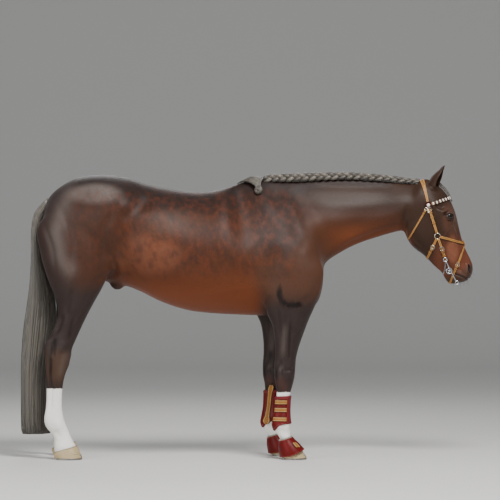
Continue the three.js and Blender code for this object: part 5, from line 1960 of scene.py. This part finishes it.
def eye_part(side):
    """An eyeball with its cornea: rings round its outward axis; their radius swells a little over the iris."""
    middle, out, ahead, up = eye_frame(side)
    rows, columns = 60, 72
    lat = np.linspace(0.01, np.pi - 0.02, rows)[:, None]
    lon = angles(columns)
    radius = EYE_RADIUS - 0.8 + 0.9 * np.exp(-((lat / 0.62) ** 4))
    a, b = radius * np.sin(lat) * np.cos(lon), radius * np.sin(lat) * np.sin(lon)
    c = radius * np.cos(lat) * np.ones(columns)
    grid = middle + (a[..., None] * ahead + b[..., None] * up + c[..., None] * out) * MM
    values = {"ahead": np.concatenate([a.ravel(), [0, 0]]), "above": np.concatenate([b.ravel(), [0, 0]])}
    return capped(grid), values


def lash_paths(rng):
    """Lashes along both upper lids, and a few long feelers below each eye, bending out and down."""
    paths, aside = [], []
    for side in (-1, 1):
        middle, out, ahead, up = eye_frame(side)
        for count, top in ((64, True), (14, False)):
            a = rng.uniform(-19, 21, count)
            edge_top, edge_low = lid_edges(a)
            b = edge_top + 0.8 if top else edge_low - rng.uniform(6, 16, count)
            c = np.sqrt(np.maximum((LID_RADIUS + 0.2) ** 2 - a**2 - b**2, 9))
            root = middle + (a[:, None] * ahead + b[:, None] * up + c[:, None] * out) * MM
            t = np.linspace(0, 1, 7)[None, :, None]
            long = (rng.uniform(13, 22, count) if top else rng.uniform(18, 34, count)) * MM
            fan = (a / 40)[:, None] * ahead + out * 0.85 + rng.normal(0, 0.06, (count, 3))
            droop = up * (-0.42 if top else -0.35)
            paths.append(root[:, None] + long[:, None, None] * (t * fan[:, None] + t**2 * droop))
            aside.append(np.tile(ahead, (count, 1)))
    return np.concatenate(paths), np.concatenate(aside)


def whisker_paths(rng):
    """Feelers on the muzzle, the lips and the chin, standing out from the skin and bending down."""
    def on_muzzle(p, n):
        down = down_face(p[:, 0] / MM, p[:, 2] / MM)
        chin = (p[:, 2] < 1.1) * 1.6
        return smooth(300, 360, down) * (0.5 + chin) * (p[:, 0] > 1.12)

    roots, normals, _ = scattered(150, on_muzzle, rng)
    t = np.linspace(0, 1, 8)[None, :, None]
    long = rng.uniform(0.012, 0.04, len(roots))[:, None, None]
    way = normals + rng.normal(0, 0.12, normals.shape)
    paths = roots[:, None] + long * (t * way[:, None] + t**2 * np.array([0.05, 0, -0.28]))
    return paths, np.cross(normals, (0, 0, 1)) + 1e-6


BUN_X = 66  # where the bun's middle is, in millimetres


def fan_hairs(u, full, rng):
    """The last of the mane: hairs that rise from the withers' ridge and sweep down its right side.

    Each is a cubic Bezier curve from its root, over a crest, to the side of the bun; u is how far ahead its
    root is, and full is 1 in the middle of its strand and 0 at the strand's edges.
    """
    count = len(u)
    x = -64 + 176 * u
    ridge = np.interp(x, [-80, 10, 75, 140], [1606, 1636, 1642, 1636])
    hump = 34 * np.sin(np.pi * np.clip(0.12 + 0.86 * u, 0, 1)) ** 0.8
    depth = rng.uniform(0, 1, count)
    root = np.stack([x, rng.uniform(-2, 10, count), ridge - 5], -1)
    crest = ridge + hump * (0.75 + 0.5 * depth) + 3 * full
    over = np.stack([x + 0.12 * (BUN_X - x), -6 - 10 * depth, crest], -1)
    side = np.stack([x + 0.72 * (BUN_X - x), -54 - 16 * depth - 5 * full, 1622 + 14 * depth + 3 * full], -1)
    end = np.stack([BUN_X + rng.normal(0, 5, count), -84 - 7 * depth, 1584 + rng.normal(0, 4, count)], -1)
    t = np.linspace(0, 1, 14)[None, :, None]
    p0, p1, p2, p3 = (p[:, None, :] for p in (root, over, side, end))
    paths = ((1 - t) ** 3 * p0 + 3 * t * (1 - t) ** 2 * p1 + 3 * t**2 * (1 - t) * p2 + t**3 * p3) * MM
    taper = np.interp(t[0, :, 0], [0, 0.1, 0.9, 1], [0.8, 1, 0.8, 0.5])
    radii = 0.0013 * rng.uniform(0.6, 1.2, (count, 1)) * taper
    return locks(paths, radii, np.tile((1.0, 0, 0), (count, 1)), cells(count), 0.7)


def bun_parts():
    """The bun: a three-strand plait wound round and round outwards.

    At phase p a strand lies 3.6 sin p beyond the coil's own line and 3.2 sin 2p in front, in millimetres.
    """
    turn = np.linspace(0, 4.9 * np.pi, 170)
    rounds = [0, 2 * np.pi, 4 * np.pi, 4.9 * np.pi]
    radius = np.interp(turn, rounds, [17, 15, 8, 3])
    out = np.interp(turn, rounds, [-77, -86, -95, -99])
    parts = []
    for k in range(3):
        phase = turn * 2.2 + k * 2 * np.pi / 3
        far = radius + 3.6 * np.sin(phase)
        near = out - 3.2 * np.sin(2 * phase)
        path = np.stack([BUN_X + far * np.cos(turn), near, 1572 + 1.05 * far * np.sin(turn)], -1) * MM
        parts.append(tube(path, 0.0045, columns=24, ribs=RIBS))
    return parts


def crest_hairs(tree, count, rng):
    """Hairs drawn over the crest from its left side: each lies on the skin and ends in the plait.

    The skin's height is met from above on a grid of places along and across the crest, and read from it.
    """
    long, wide = np.linspace(140, 1006, 90), np.linspace(-34, 30, 17)
    starts = np.stack(np.broadcast_arrays(long[:, None], wide, 1800.0), -1).reshape(-1, 3) * MM
    height = met(tree, starts, np.array([0, 0, -1]))[:, 2].reshape(len(long), len(wide)) / MM
    t = np.linspace(0, 1, 8)[None, :]
    root = rng.uniform(6, 25, (count, 1))
    x = rng.uniform(150, 985, (count, 1)) + rng.uniform(2, 18, (count, 1)) * t
    y = root + (-12 - root) * 0.75 * t
    i = np.clip((x - long[0]) / (long[1] - long[0]), 0, len(long) - 1.001)
    j = np.clip((y - wide[0]) / (wide[1] - wide[0]), 0, len(wide) - 1.001)
    a, b = i.astype(int), j.astype(int)
    u, v = i - a, j - b
    low = (1 - v) * height[a, b] + v * height[a, b + 1]
    high = (1 - v) * height[a + 1, b] + v * height[a + 1, b + 1]
    z = (1 - u) * low + u * high + 0.7 + 5 * smooth(0.5, 1.0, t)
    radii = 0.0006 * np.ones((count, 1)) * np.array([0.15, 0.6, 1, 1, 1, 1, 1, 0.7])
    return locks(np.stack([x, y, z], -1) * MM, radii, np.tile((1.0, 0, 0), (count, 1)), cells(count))


def forelock_lines(tree, out, rise):
    """One thin forelock plait's body as stations: on the skin from between the ears to the browband.

    The skin is met along a slanted way at places on the forehead's line, and the plait stands above it.
    """
    x, z = np.array([(1104, 1634), (1128, 1620), (1156, 1602), (1184, 1578), (1206, 1550), (1220, 1524)]).T
    way = np.array([-0.62, 0, -0.78])
    starts = np.stack([x, np.linspace(0.6, 1.3, len(x)) * out, z], -1) * MM - way * 0.12
    skin = met(tree, starts, way)[:, [0, 2]] / MM
    up = -way[[0, 2]]
    lift = rise * np.array([0.5, 1, 1.1, 1.1, 1, 0.9])
    half = 6.6 * np.array([1.1, 1.1, 1, 0.95, 0.8, 0.5])
    return [
        (tuple(p + up * (far + 2 * wide)), tuple(p + up * far), wide, "round", float(start[1] / MM))
        for p, far, wide, start in zip(skin, lift, half, starts)
    ]


def wound_map(mesh, parts, columns):
    """A bake map for parts made of rings: u runs along all the parts, and v round each without a torn face."""
    along, turn = [], []
    for k, (shape, _) in enumerate(parts):
        index = np.arange(len(shape[0]))
        rows = len(index) // columns
        ring = index < rows * columns
        along.append((k + np.where(ring, (index // columns) / rows, 0.5)) / len(parts))
        turn.append(np.where(ring, (index % columns) / columns, 0.5))
    corners = corner_vertices(mesh)
    u, v = np.concatenate(along)[corners], np.concatenate(turn)[corners]
    totals = corner_totals(mesh)
    start = np.concatenate([[0], np.cumsum(totals)[:-1]])
    high = np.repeat(np.maximum.reduceat(v, start), totals)
    v = np.where((high > 0.7) & (v < 0.3), v + 1, v)
    return set_bake_map(mesh, np.stack([u, v / 1.05], -1))


def hair_tubes(name, parts, columns, tones):
    """Twists of hair as one mesh: each part has its own tone."""
    mesh = mesh_of(name, joined([outward(shape) for shape, _ in parts]))
    each = np.concatenate([np.tile(tone, (len(shape[0]), 1)) for (shape, _), tone in zip(parts, tones)])
    strand = np.concatenate([strand_of(shape[0], columns) for shape, _ in parts])
    return wound_map(with_values(mesh, tone=each, strand=strand), parts, columns)


def strand_of(points, columns):
    """Where each point of a tube is on its hairs: the cosine and sine of its turn, and its run in metres."""
    rows = len(points) // columns
    run = lengths(points[: rows * columns].reshape(rows, columns, 3).mean(axis=1))
    turn = np.tile(angles(columns), rows)
    grid = np.stack([np.cos(turn), np.sin(turn), np.repeat(run, columns)], -1)
    return np.concatenate([grid, np.zeros((len(points) - len(grid), 3))])


def strays(parts, columns, count, rows, reach, rng):
    """Single hairs that follow a twist's surface: each starts at some ring and drifts slowly round it."""
    paths, asides = [], []
    for shape, _ in parts:
        rings = len(shape[0]) // columns
        grid = shape[0][: rings * columns].reshape(rings, columns, 3)
        middle = grid.mean(axis=1)
        start = rng.integers(0, max(rings - reach, 1), count)[:, None]
        ring = np.clip(start + np.linspace(0, reach, rows).astype(int)[None], 0, rings - 1)
        drift = rng.uniform(-0.25, 0.25, (count, 1)) * np.linspace(0, 1, rows) * columns
        place = (rng.integers(0, columns, count)[:, None] + drift).astype(int) % columns
        arm = grid[ring, place] - middle[ring]
        path = middle[ring] + arm * rng.uniform(0.99, 1.05, (count, 1, 1))
        paths.append(path)
        asides.append(unit(np.cross(path[:, 1] - path[:, 0], arm[:, 0])))
    paths = np.concatenate(paths)
    for _ in range(2):
        paths[:, 1:-1] = (paths[:, :-2] + 2 * paths[:, 1:-1] + paths[:, 2:]) / 4
    taper = np.interp(np.linspace(0, 1, rows), [0, 0.2, 0.8, 1], [0.2, 1, 1, 0.2])
    radii = 0.0005 * np.ones((len(paths), 1)) * taper
    return locks(paths, radii, np.concatenate(asides), cells(len(paths)))


# ------------------------------------------------------------------ settings
def colour_property(name, description, value):
    return bpy.props.FloatVectorProperty(
        name=name, description=description, subtype="COLOR", size=4, min=0, max=1, default=linear(value)
    )


class HorseCoatSettings(bpy.types.PropertyGroup):
    blotch: colour_property("Blotch colour", "Colour of the rusty blotches on the barrel and hip", "#6a3520")
    shade: colour_property("Shade colour", "Colour of the dark blotches between them", "#2c201d")
    triangles: bpy.props.IntProperty(
        name="Skin triangles", description="How many triangles the skin keeps", default=SKIN_FACES, min=40000
    )
    hair_length: bpy.props.FloatProperty(
        name="Hair length", description="Length of the body's short hairs", default=0.012, subtype="DISTANCE"
    )
    density: bpy.props.FloatProperty(
        name="Hair density", description="Share of the short hairs that grow", default=1.0, min=0.0, max=1.0
    )


class HorseHairSettings(bpy.types.PropertyGroup):
    tail_count: bpy.props.IntProperty(
        name="Tail hairs", description="How many strands hang in the tail", default=1750, min=100, max=1900
    )
    lobes: bpy.props.IntProperty(
        name="Plait lobes", description="How many lobes the crest's plait shows on each edge", default=21
    )


class HorseTackSettings(bpy.types.PropertyGroup):
    leather: colour_property("Leather colour", "Colour of the bridle's leather", "#a5712f")
    leather_shade: colour_property("Leather shade", "Darker colour in the leather's clouds", "#7e501e")


class HorseStudioSettings(bpy.types.PropertyGroup):
    key: bpy.props.FloatProperty(
        name="Key light", description="Strength of the main soft light", default=620.0, subtype="POWER"
    )
    distance: bpy.props.FloatProperty(
        name="Camera distance", description="How far off the camera stands", default=16.0, subtype="DISTANCE"
    )


# ------------------------------------------------------------------ operators
class HorsePieceOperator:
    """Shared by the operators: each builds its pieces, and an error stops the script."""

    bl_options = {"REGISTER", "UNDO"}

    def execute(self, context):
        self.build(context.scene)
        return {"FINISHED"}


class HORSE_OT_skin(HorsePieceOperator, bpy.types.Operator):
    """One skin over head, neck, trunk, legs and ears"""

    bl_idname = "horse.skin"
    bl_label = "Skin"

    def build(self, scene):
        settings = scene.horse_coat
        mesh = thinned(skin_mesh(), settings.triangles)
        no_quads = np.empty((0, 4), int)
        shapes = [(points_of(mesh), no_quads, corner_vertices(mesh).reshape(-1, 3))]
        for _, side in SIDES:
            points, quads, tris = ear_shape(side)
            halves = np.concatenate([quads[:, [0, 1, 2]], quads[:, [0, 2, 3]], tris])
            shapes.append((points, no_quads, halves))
        mesh = mesh_of("horse_skin", joined(shapes))
        with_values(mesh, **markings(points_of(mesh), normals_of(mesh)))
        unwrapped(mesh)
        dressed(mesh, horse_coat(settings), "coat", *FLESH)


FLESH = (
    "head", "neck", "trunk", "fore_leg_right", "fore_leg_left", "hind_leg_right", "hind_leg_left",
    "ear_right", "ear_left",
)


def on_body(p, n):
    return (p[:, 0] < 0.35) & (p[:, 2] > 0.86)


def on_front(p, n):
    return (p[:, 0] > 0.2) & (p[:, 0] < 1.02) & (p[:, 2] > 0.9)


def on_legs(p, n):
    q, side = canonical(p, "fore")
    x, z = q[:, 0], q[:, 2]
    boot = (z > np.interp(x, *zip(*BOOT_BOTTOM)) - 3) & (z < 372 + LEFT_BOOT_UP * (side > 0))
    bell = z < np.interp(x, *zip(*BELL_TOP)) + 8
    fore = (x > 50) & ~boot & ~bell
    hind = (p[:, 0] < -0.75) & (p[:, 2] > 0.06)
    return (p[:, 2] < 0.98) & (fore | hind)


def on_face(p, n):
    down = down_face(p[:, 0] / MM, p[:, 2] / MM)
    eyes = np.minimum.reduce([np.linalg.norm(p - eye_frame(side)[0], axis=1) for side in (-1, 1)])
    return (p[:, 0] > 0.95) * smooth(390, 300, down) * (eyes > 0.034)


def on_fringe(p, n):
    """Where longer hair breaks the outline: under the jaw and the belly, and behind the legs."""
    x, _, z = p.T
    back = smooth(0.2, 0.8, -n[:, 0])
    fetlock = (z < 0.23) & (z > 0.10) & (x < 0) | (z < 0.16) & (z > 0.12) & (x > 0)
    cannon = (z > 0.4) & (z < 0.75)
    legs = ((x < -0.75) | (x > 0.05)) * back * (3.0 * fetlock + 0.7 * cannon)
    coronet = 2.5 * (z < 0.085) * (z > 0.05) * (x < -0.8)
    belly = 0.6 * smooth(0.6, 0.95, -n[:, 2]) * (z > 0.8) * (z < 1.1) * (x < 0.5)
    jaw = 0.8 * smooth(0.5, 0.9, -n[:, 2]) * (x > 0.92) * (z < 1.36)
    return legs + coronet + belly + jaw


def on_ear(p, n):
    rolled = n[:, 0] * 0.6 + np.sign(p[:, 1]) * n[:, 1] * 0.5 > 0.1
    return (p[:, 2] > 1.6) & (p[:, 0] > 1.075) & rolled


def ear_way(p, n):
    return np.stack([0.35 + 0 * p[:, 0], 0.12 * np.sign(p[:, 1]), 0.9 + 0 * p[:, 0]], -1)


# Each coat piece: its name, how many hairs, where, their length (0 takes the setting's), width and lift.
FUR = (
    ("coat_body", 13800, on_body, 0, 0.0006, 0.05, 3),
    ("coat_front", 13800, on_front, 0, 0.0006, 0.05, 3),
    ("coat_legs", 13800, on_legs, 0.008, 0.0005, 0.06, 3),
    ("coat_face", 13800, on_face, 0.0055, 0.0004, 0.07, 3),
    ("coat_fringe", 6200, on_fringe, 0.013, 0.0005, 0.16, 4),
)


class HORSE_OT_coat(HorsePieceOperator, bpy.types.Operator):
    """The short hairs that break the skin's outline, with lashes, ear hair and whiskers"""

    bl_idname = "horse.coat"
    bl_label = "Coat"

    def build(self, scene):
        settings = scene.horse_coat
        material = bpy.data.materials["short horse coat"]
        for k, (name, count, where, length, width, lift, rows) in enumerate(FUR):
            mesh = fur(
                name, int(count * settings.density), where, length or settings.hair_length, width, lift,
                RNG_SEED + k, rows=rows,
            )
            dressed(mesh, material, "coat")
        mesh = fur("ear_hair", 1800, on_ear, 0.011, 0.0004, 0.1, RNG_SEED + 20, 0.2, 5, way=ear_way)
        dressed(mesh, material, "coat")
        rng = np.random.default_rng(RNG_SEED + 30)
        for name, (paths, aside), width in (
            ("lashes", lash_paths(rng), 0.00042), ("whiskers", whisker_paths(rng), 0.00034),
        ):
            radii = width * np.linspace(1, 0.1, paths.shape[1])[None, :] * np.ones((len(paths), 1))
            tones = np.tile(linear("#15100e")[:3], (len(paths), 1))
            mesh = hair_mesh(name, locks(paths, radii, aside, cells(len(paths))), tone=tones)
            dressed(mesh, bpy.data.materials["combed horsehair"], "coat")


FAN_STRANDS = 9  # how many bunches the last of the mane falls into
PLAIT_AROUND = 32
TWIST_AROUND = 24


class HORSE_OT_mane(HorsePieceOperator, bpy.types.Operator):
    """The plait along the crest, the forelock, and the last of the mane with its bun"""

    bl_idname = "horse.mane"
    bl_label = "Mane"

    def build(self, scene):
        hair = long_hair()
        rng = np.random.default_rng(RNG_SEED + 1)
        tree = skin_tree()
        tones = [np.array(linear(c)[:3]) for c in ("#5e574e", "#4e4841", "#6b645a")]
        parts = plait(BRAID, 0.2, len(BRAID) - 1.3, scene.horse_hair.lobes, PLAIT_AROUND)
        dressed(hair_tubes("crest_plait", parts, PLAIT_AROUND, tones), hair, "long_hair", "mane_braid")
        loose = strays(parts, PLAIT_AROUND, 700, 8, 26, rng)
        add_hairs("plait_strays", loose, hair_tones(2100, rng, 0.5), hair)
        add_hairs("crest_roots", crest_hairs(tree, 1500, rng), hair_tones(1500, rng, 0.1), hair)
        u = rng.uniform(0, 1, 1100) ** 0.9
        strand = (np.floor(u * FAN_STRANDS) + 0.5) / FAN_STRANDS
        full = 1 - (2 * FAN_STRANDS * (u - strand)) ** 2
        fan = fan_hairs(strand + 0.7 * (u - strand), full, rng)
        # the hairs at each bunch's edges are toned darker: painted shade in the gaps between the bunches
        add_hairs("mane_sweep", fan, hair_tones(1100, rng, 0.85 * full - 0.05), hair, "mane_fan")
        knot = bun_parts()
        dressed(hair_tubes("mane_knot", knot, TWIST_AROUND, tones), hair, "long_hair", "mane_bun")
        loose = strays(knot, TWIST_AROUND, 130, 7, 16, rng)
        add_hairs("knot_strays", loose, hair_tones(390, rng, 0.45), hair)
        twists = []
        for out, rise in ((-11, 2), (7, 9)):
            twists += plait(forelock_lines(tree, out, rise), 0.0, 4.98, 14, TWIST_AROUND, 8)
        mesh = hair_tubes("forelock_plaits", twists, TWIST_AROUND, tones * 2)
        dressed(mesh, hair, "long_hair", "forelock")
        loose = strays(twists, TWIST_AROUND, 90, 7, 16, rng)
        add_hairs("forelock_strays", loose, hair_tones(540, rng, 0.45), hair)


class HORSE_OT_tail(HorsePieceOperator, bpy.types.Operator):
    """The tail, as strands that hang from the dock"""

    bl_idname = "horse.tail"
    bl_label = "Tail"

    def build(self, scene):
        count = scene.horse_hair.tail_count
        hair = bpy.data.materials["combed horsehair"]
        rng = np.random.default_rng(RNG_SEED + 2)
        tones = hair_tones(count, rng, 0.42)
        add_hairs("tail_hair", tail_hairs(count, rng), tones, hair, "tail")
        core = (shell(TAIL[:-1], 40, 60, -13), {})
        mesh = hair_tubes("tail_core", [core], 40, [np.array(linear("#5d5752")[:3])])
        dressed(mesh, hair, "long_hair")


class HORSE_OT_eyes(HorsePieceOperator, bpy.types.Operator):
    """Both eyes"""

    bl_idname = "horse.eyes"
    bl_label = "Eyes"

    def build(self, scene):
        glass = eye_glass()
        for name, side in SIDES:
            add(f"eyeball_{name}", [eye_part(side)], glass, "eye", f"eye_{name}")


class HORSE_OT_feet(HorsePieceOperator, bpy.types.Operator):
    """Hooves, nails and shoes"""

    bl_idname = "horse.feet"
    bl_label = "Hooves and shoes"

    def build(self, scene):
        horn = hoof_horn()
        steel = metal("worn shoe steel", "#8d8a86", 0.34)
        for name, side in SIDES:
            for end, stations in (("fore", FORE_HOOF), ("hind", HIND_HOOF)):
                leg = (stations, side, LEG_BACK[(end, side)])
                add(f"hoof_wall_{end}_{name}", [hoof_part(*leg)], horn, "horn", f"hoof_{end}_{name}")
                parts = [shoe_part(*leg), clip_part(*leg), *nail_parts(*leg)]
                add(f"horseshoe_{end}_{name}", parts, steel, "shoe_steel", f"shoe_{end}_{name}")


class HORSE_OT_bridle(HorsePieceOperator, bpy.types.Operator):
    """The bridle's straps, buckles, rosettes and beads, and the bit"""

    bl_idname = "horse.bridle"
    bl_label = "Bridle"

    def build(self, scene):
        tree = skin_tree()
        routes = bridle_routes(tree)
        leather = bridle_leather(scene.horse_tack)
        nodes = ["crownpiece", "browband", "throatlash", "noseband_upper", "noseband_lower", "jaw_strap"]
        nodes += [f"{strap_name}_{name}" for strap_name in ("cheekpiece", "bit_strap") for name, _ in SIDES]
        add("bridle_straps", bridle_leather_parts(routes), leather, "tan_leather", *nodes)
        nickel = metal("polished buckle nickel", "#c9c2b0", 0.16)
        nodes = [f"cheek_ring_{name}" for name, _ in SIDES]
        add("bridle_buckles", bridle_metal_parts(tree, routes), nickel, "gilt", *nodes)
        garnet = boot_red("garnet lacquered leather", False, "#3a0e0c", "#220706")
        nodes = [f"brow_stud_{name}" for name, _ in SIDES]
        add("bridle_rosettes", rosette_parts(tree), garnet, "gilt", *nodes)
        pearls, beads = pearl_parts(tree, routes)
        add("bridle_pearls", pearls, pearl("glass pearl", "#efe6d6"), "gilt")
        add("bridle_beads", beads, pearl("brown glass bead", "#3d1b13"), "gilt")
        chrome = metal("polished bit steel", "#b9bcc0", 0.1)
        add("pelham_bit", bit_parts(tree), chrome, "bit_steel", "bit")


# How wide the boot's guard and the bell's tab are from their feet to their tops, as shares of a half width.
GUARD_OUTLINE = (0.5, 1.25, 1.15, 0.84, 0.78, 0.76, 0.76, 0.76, 0.78, 0.84, 0.98, 0.6)
TAB_OUTLINE = (0.85, 1.0, 1.0, 1.0, 0.85)


class HORSE_OT_boots(HorsePieceOperator, bpy.types.Operator):
    """Leg boots with their straps and pads, and bell boots over the front hooves"""

    bl_idname = "horse.boots"
    bl_label = "Boots"

    def build(self, scene):
        red = boot_red("waxed red leather", False)
        rubber = boot_red("moulded red rubber", True)
        tan = bpy.data.materials["waxed bridle leather"]
        collar = knit()
        for name, side in SIDES:
            leg = (side, LEG_BACK[("fore", side)])
            up = LEFT_BOOT_UP if side > 0 else 0
            top = [(x, z + up) for x, z in BOOT_TOP]
            sleeve = cuff(FORE_LEG, BOOT_BOTTOM, top, 0.4, 7.0, 1.6, *leg, front=1.0)
            add(f"leg_boot_sleeve_{name}", [sleeve], red, "red_boot", f"leg_boot_{name}")
            for k, height in enumerate(BOOT_STRAPS, 1):
                strap_round = band_round(FORE_LEG, (1.06, 2.72), height + up, 28, 7.2, 3.8, *leg)
                add(f"boot_band_{k}_{name}", [strap_round], tan, "tan_leather", f"boot_strap_{k}_{name}")
            turns = (np.linspace(-1.98, -1.7, 28), 0.36)
            guard = patch(FORE_LEG, turns, (188, 398 + up), GUARD_OUTLINE, 7.2, 4.6, *leg)
            add(f"boot_guard_{name}", [guard], tan, "tan_leather", f"boot_pad_{name}")
            bell = cuff(BELL, BELL_EDGE, BELL_TOP, -5.5, 0.0, 1.4, *leg)
            add(f"bell_{name}", [bell], rubber, "red_rubber", f"bell_boot_{name}")
            over_bell = [(x, z + 9) for x, z in BELL_TOP]
            ring = cuff(BELL, BELL_TOP, over_bell, -5.0, -1.0, 1.2, *leg, rows=12)
            add(f"bell_collar_{name}", [ring], collar, "red_rubber")
            tab = patch(BELL, (0.86, 0.27), (74, 102), TAB_OUTLINE, 0.3, 3.6, *leg, 14)
            add(f"bell_tab_{name}", [tab], tan, "tan_leather")


SENSOR = 36.0  # the camera's, in millimetres
VIEW_WIDTH = 2.9425  # how much of the horse's plane the picture shows, in metres
VIEW_X, VIEW_HEIGHT = 0.017, 1.22  # where the picture's middle is


class HORSE_OT_studio(HorsePieceOperator, bpy.types.Operator):
    """A pale floor, soft lights and the camera"""

    bl_idname = "horse.studio"
    bl_label = "Studio"

    def build(self, scene):
        settings = scene.horse_studio
        floor_material, tree, shader = surface("pale studio floor", Roughness=0.75)
        shader.inputs["Base Color"].default_value = linear("#cfcdc9")
        reach, wall, bend = 60.0, 18.0, 6.0
        arc = np.linspace(0, np.pi / 2, 24)
        y = np.concatenate([[-reach], wall - bend + bend * np.sin(arc), [wall]])
        z = np.concatenate([[0.0], bend - bend * np.cos(arc), [wall]])
        rows = np.stack([np.stack([0 * y + x, y, z], -1) for x in (-reach, reach)], 1)
        shape = (rows.reshape(-1, 3), band(len(y), 2, False), np.empty((0, 3), int))
        mesh = mesh_of("studio_floor", shape)
        mesh.materials.append(floor_material)
        linked("studio_floor", mesh)
        world = bpy.data.worlds.new("studio_air")
        world.use_nodes = True
        air = world.node_tree.nodes["Background"]
        air.inputs["Color"].default_value = linear("#e9edf2")
        air.inputs["Strength"].default_value = 0.42
        scene.world = world
        for name, place, size, power in (
            ("key", (1.6, -4.2, 6.0), 2.6, settings.key),
            ("fill", (-4.5, -5.0, 2.6), 4.0, settings.key * 0.35),
            ("rim", (-1.0, 4.5, 4.6), 3.0, settings.key * 0.12),
        ):
            light = bpy.data.lights.new(name, "AREA")
            light.energy = power
            light.shape = "DISK"
            light.size = size
            lamp = linked(name, light)
            lamp.location = place
            lamp.rotation_euler = (Vector((0, 0, 1.0)) - Vector(place)).to_track_quat("-Z", "Y").to_euler()
            lamp.visible_camera = False
        camera = bpy.data.cameras.new("camera")
        camera.sensor_width = SENSOR
        camera.lens = SENSOR * settings.distance / VIEW_WIDTH
        camera.clip_end = 200
        eye = linked("camera", camera)
        eye.location = (VIEW_X, -settings.distance, VIEW_HEIGHT)
        eye.rotation_euler = (math.pi / 2, 0, 0)
        scene.camera = eye


class HORSE_PT_panel(bpy.types.Panel):
    """Every piece's button, in the order they are made"""

    bl_label = "Standing saddle horse"
    bl_space_type = "VIEW_3D"
    bl_region_type = "UI"
    bl_category = "Horse"

    def draw(self, context):
        for name in SETTINGS:
            box = self.layout.box()
            group = getattr(context.scene, name)
            for key in group.bl_rna.properties.keys():
                if key not in ("rna_type", "name"):
                    box.prop(group, key)
        for operator in OPERATORS:
            self.layout.operator(operator.bl_idname)


SETTINGS = {
    "horse_coat": HorseCoatSettings,
    "horse_hair": HorseHairSettings,
    "horse_tack": HorseTackSettings,
    "horse_studio": HorseStudioSettings,
}
OPERATORS = (
    HORSE_OT_skin, HORSE_OT_mane, HORSE_OT_tail, HORSE_OT_coat, HORSE_OT_eyes, HORSE_OT_feet,
    HORSE_OT_bridle, HORSE_OT_boots, HORSE_OT_studio,
)


def register():
    for group in (*SETTINGS.values(), *OPERATORS, HORSE_PT_panel):
        bpy.utils.register_class(group)
    for name, group in SETTINGS.items():
        setattr(bpy.types.Scene, name, bpy.props.PointerProperty(type=group))


def unregister():
    for name in SETTINGS:
        delattr(bpy.types.Scene, name)
    for group in (HORSE_PT_panel, *reversed(OPERATORS), *reversed(SETTINGS.values())):
        bpy.utils.unregister_class(group)


def main():
    register()
    for operator in OPERATORS:
        prefix, name = operator.bl_idname.split(".")
        getattr(getattr(bpy.ops, prefix), name)()


if __name__ == "__main__":
    main()
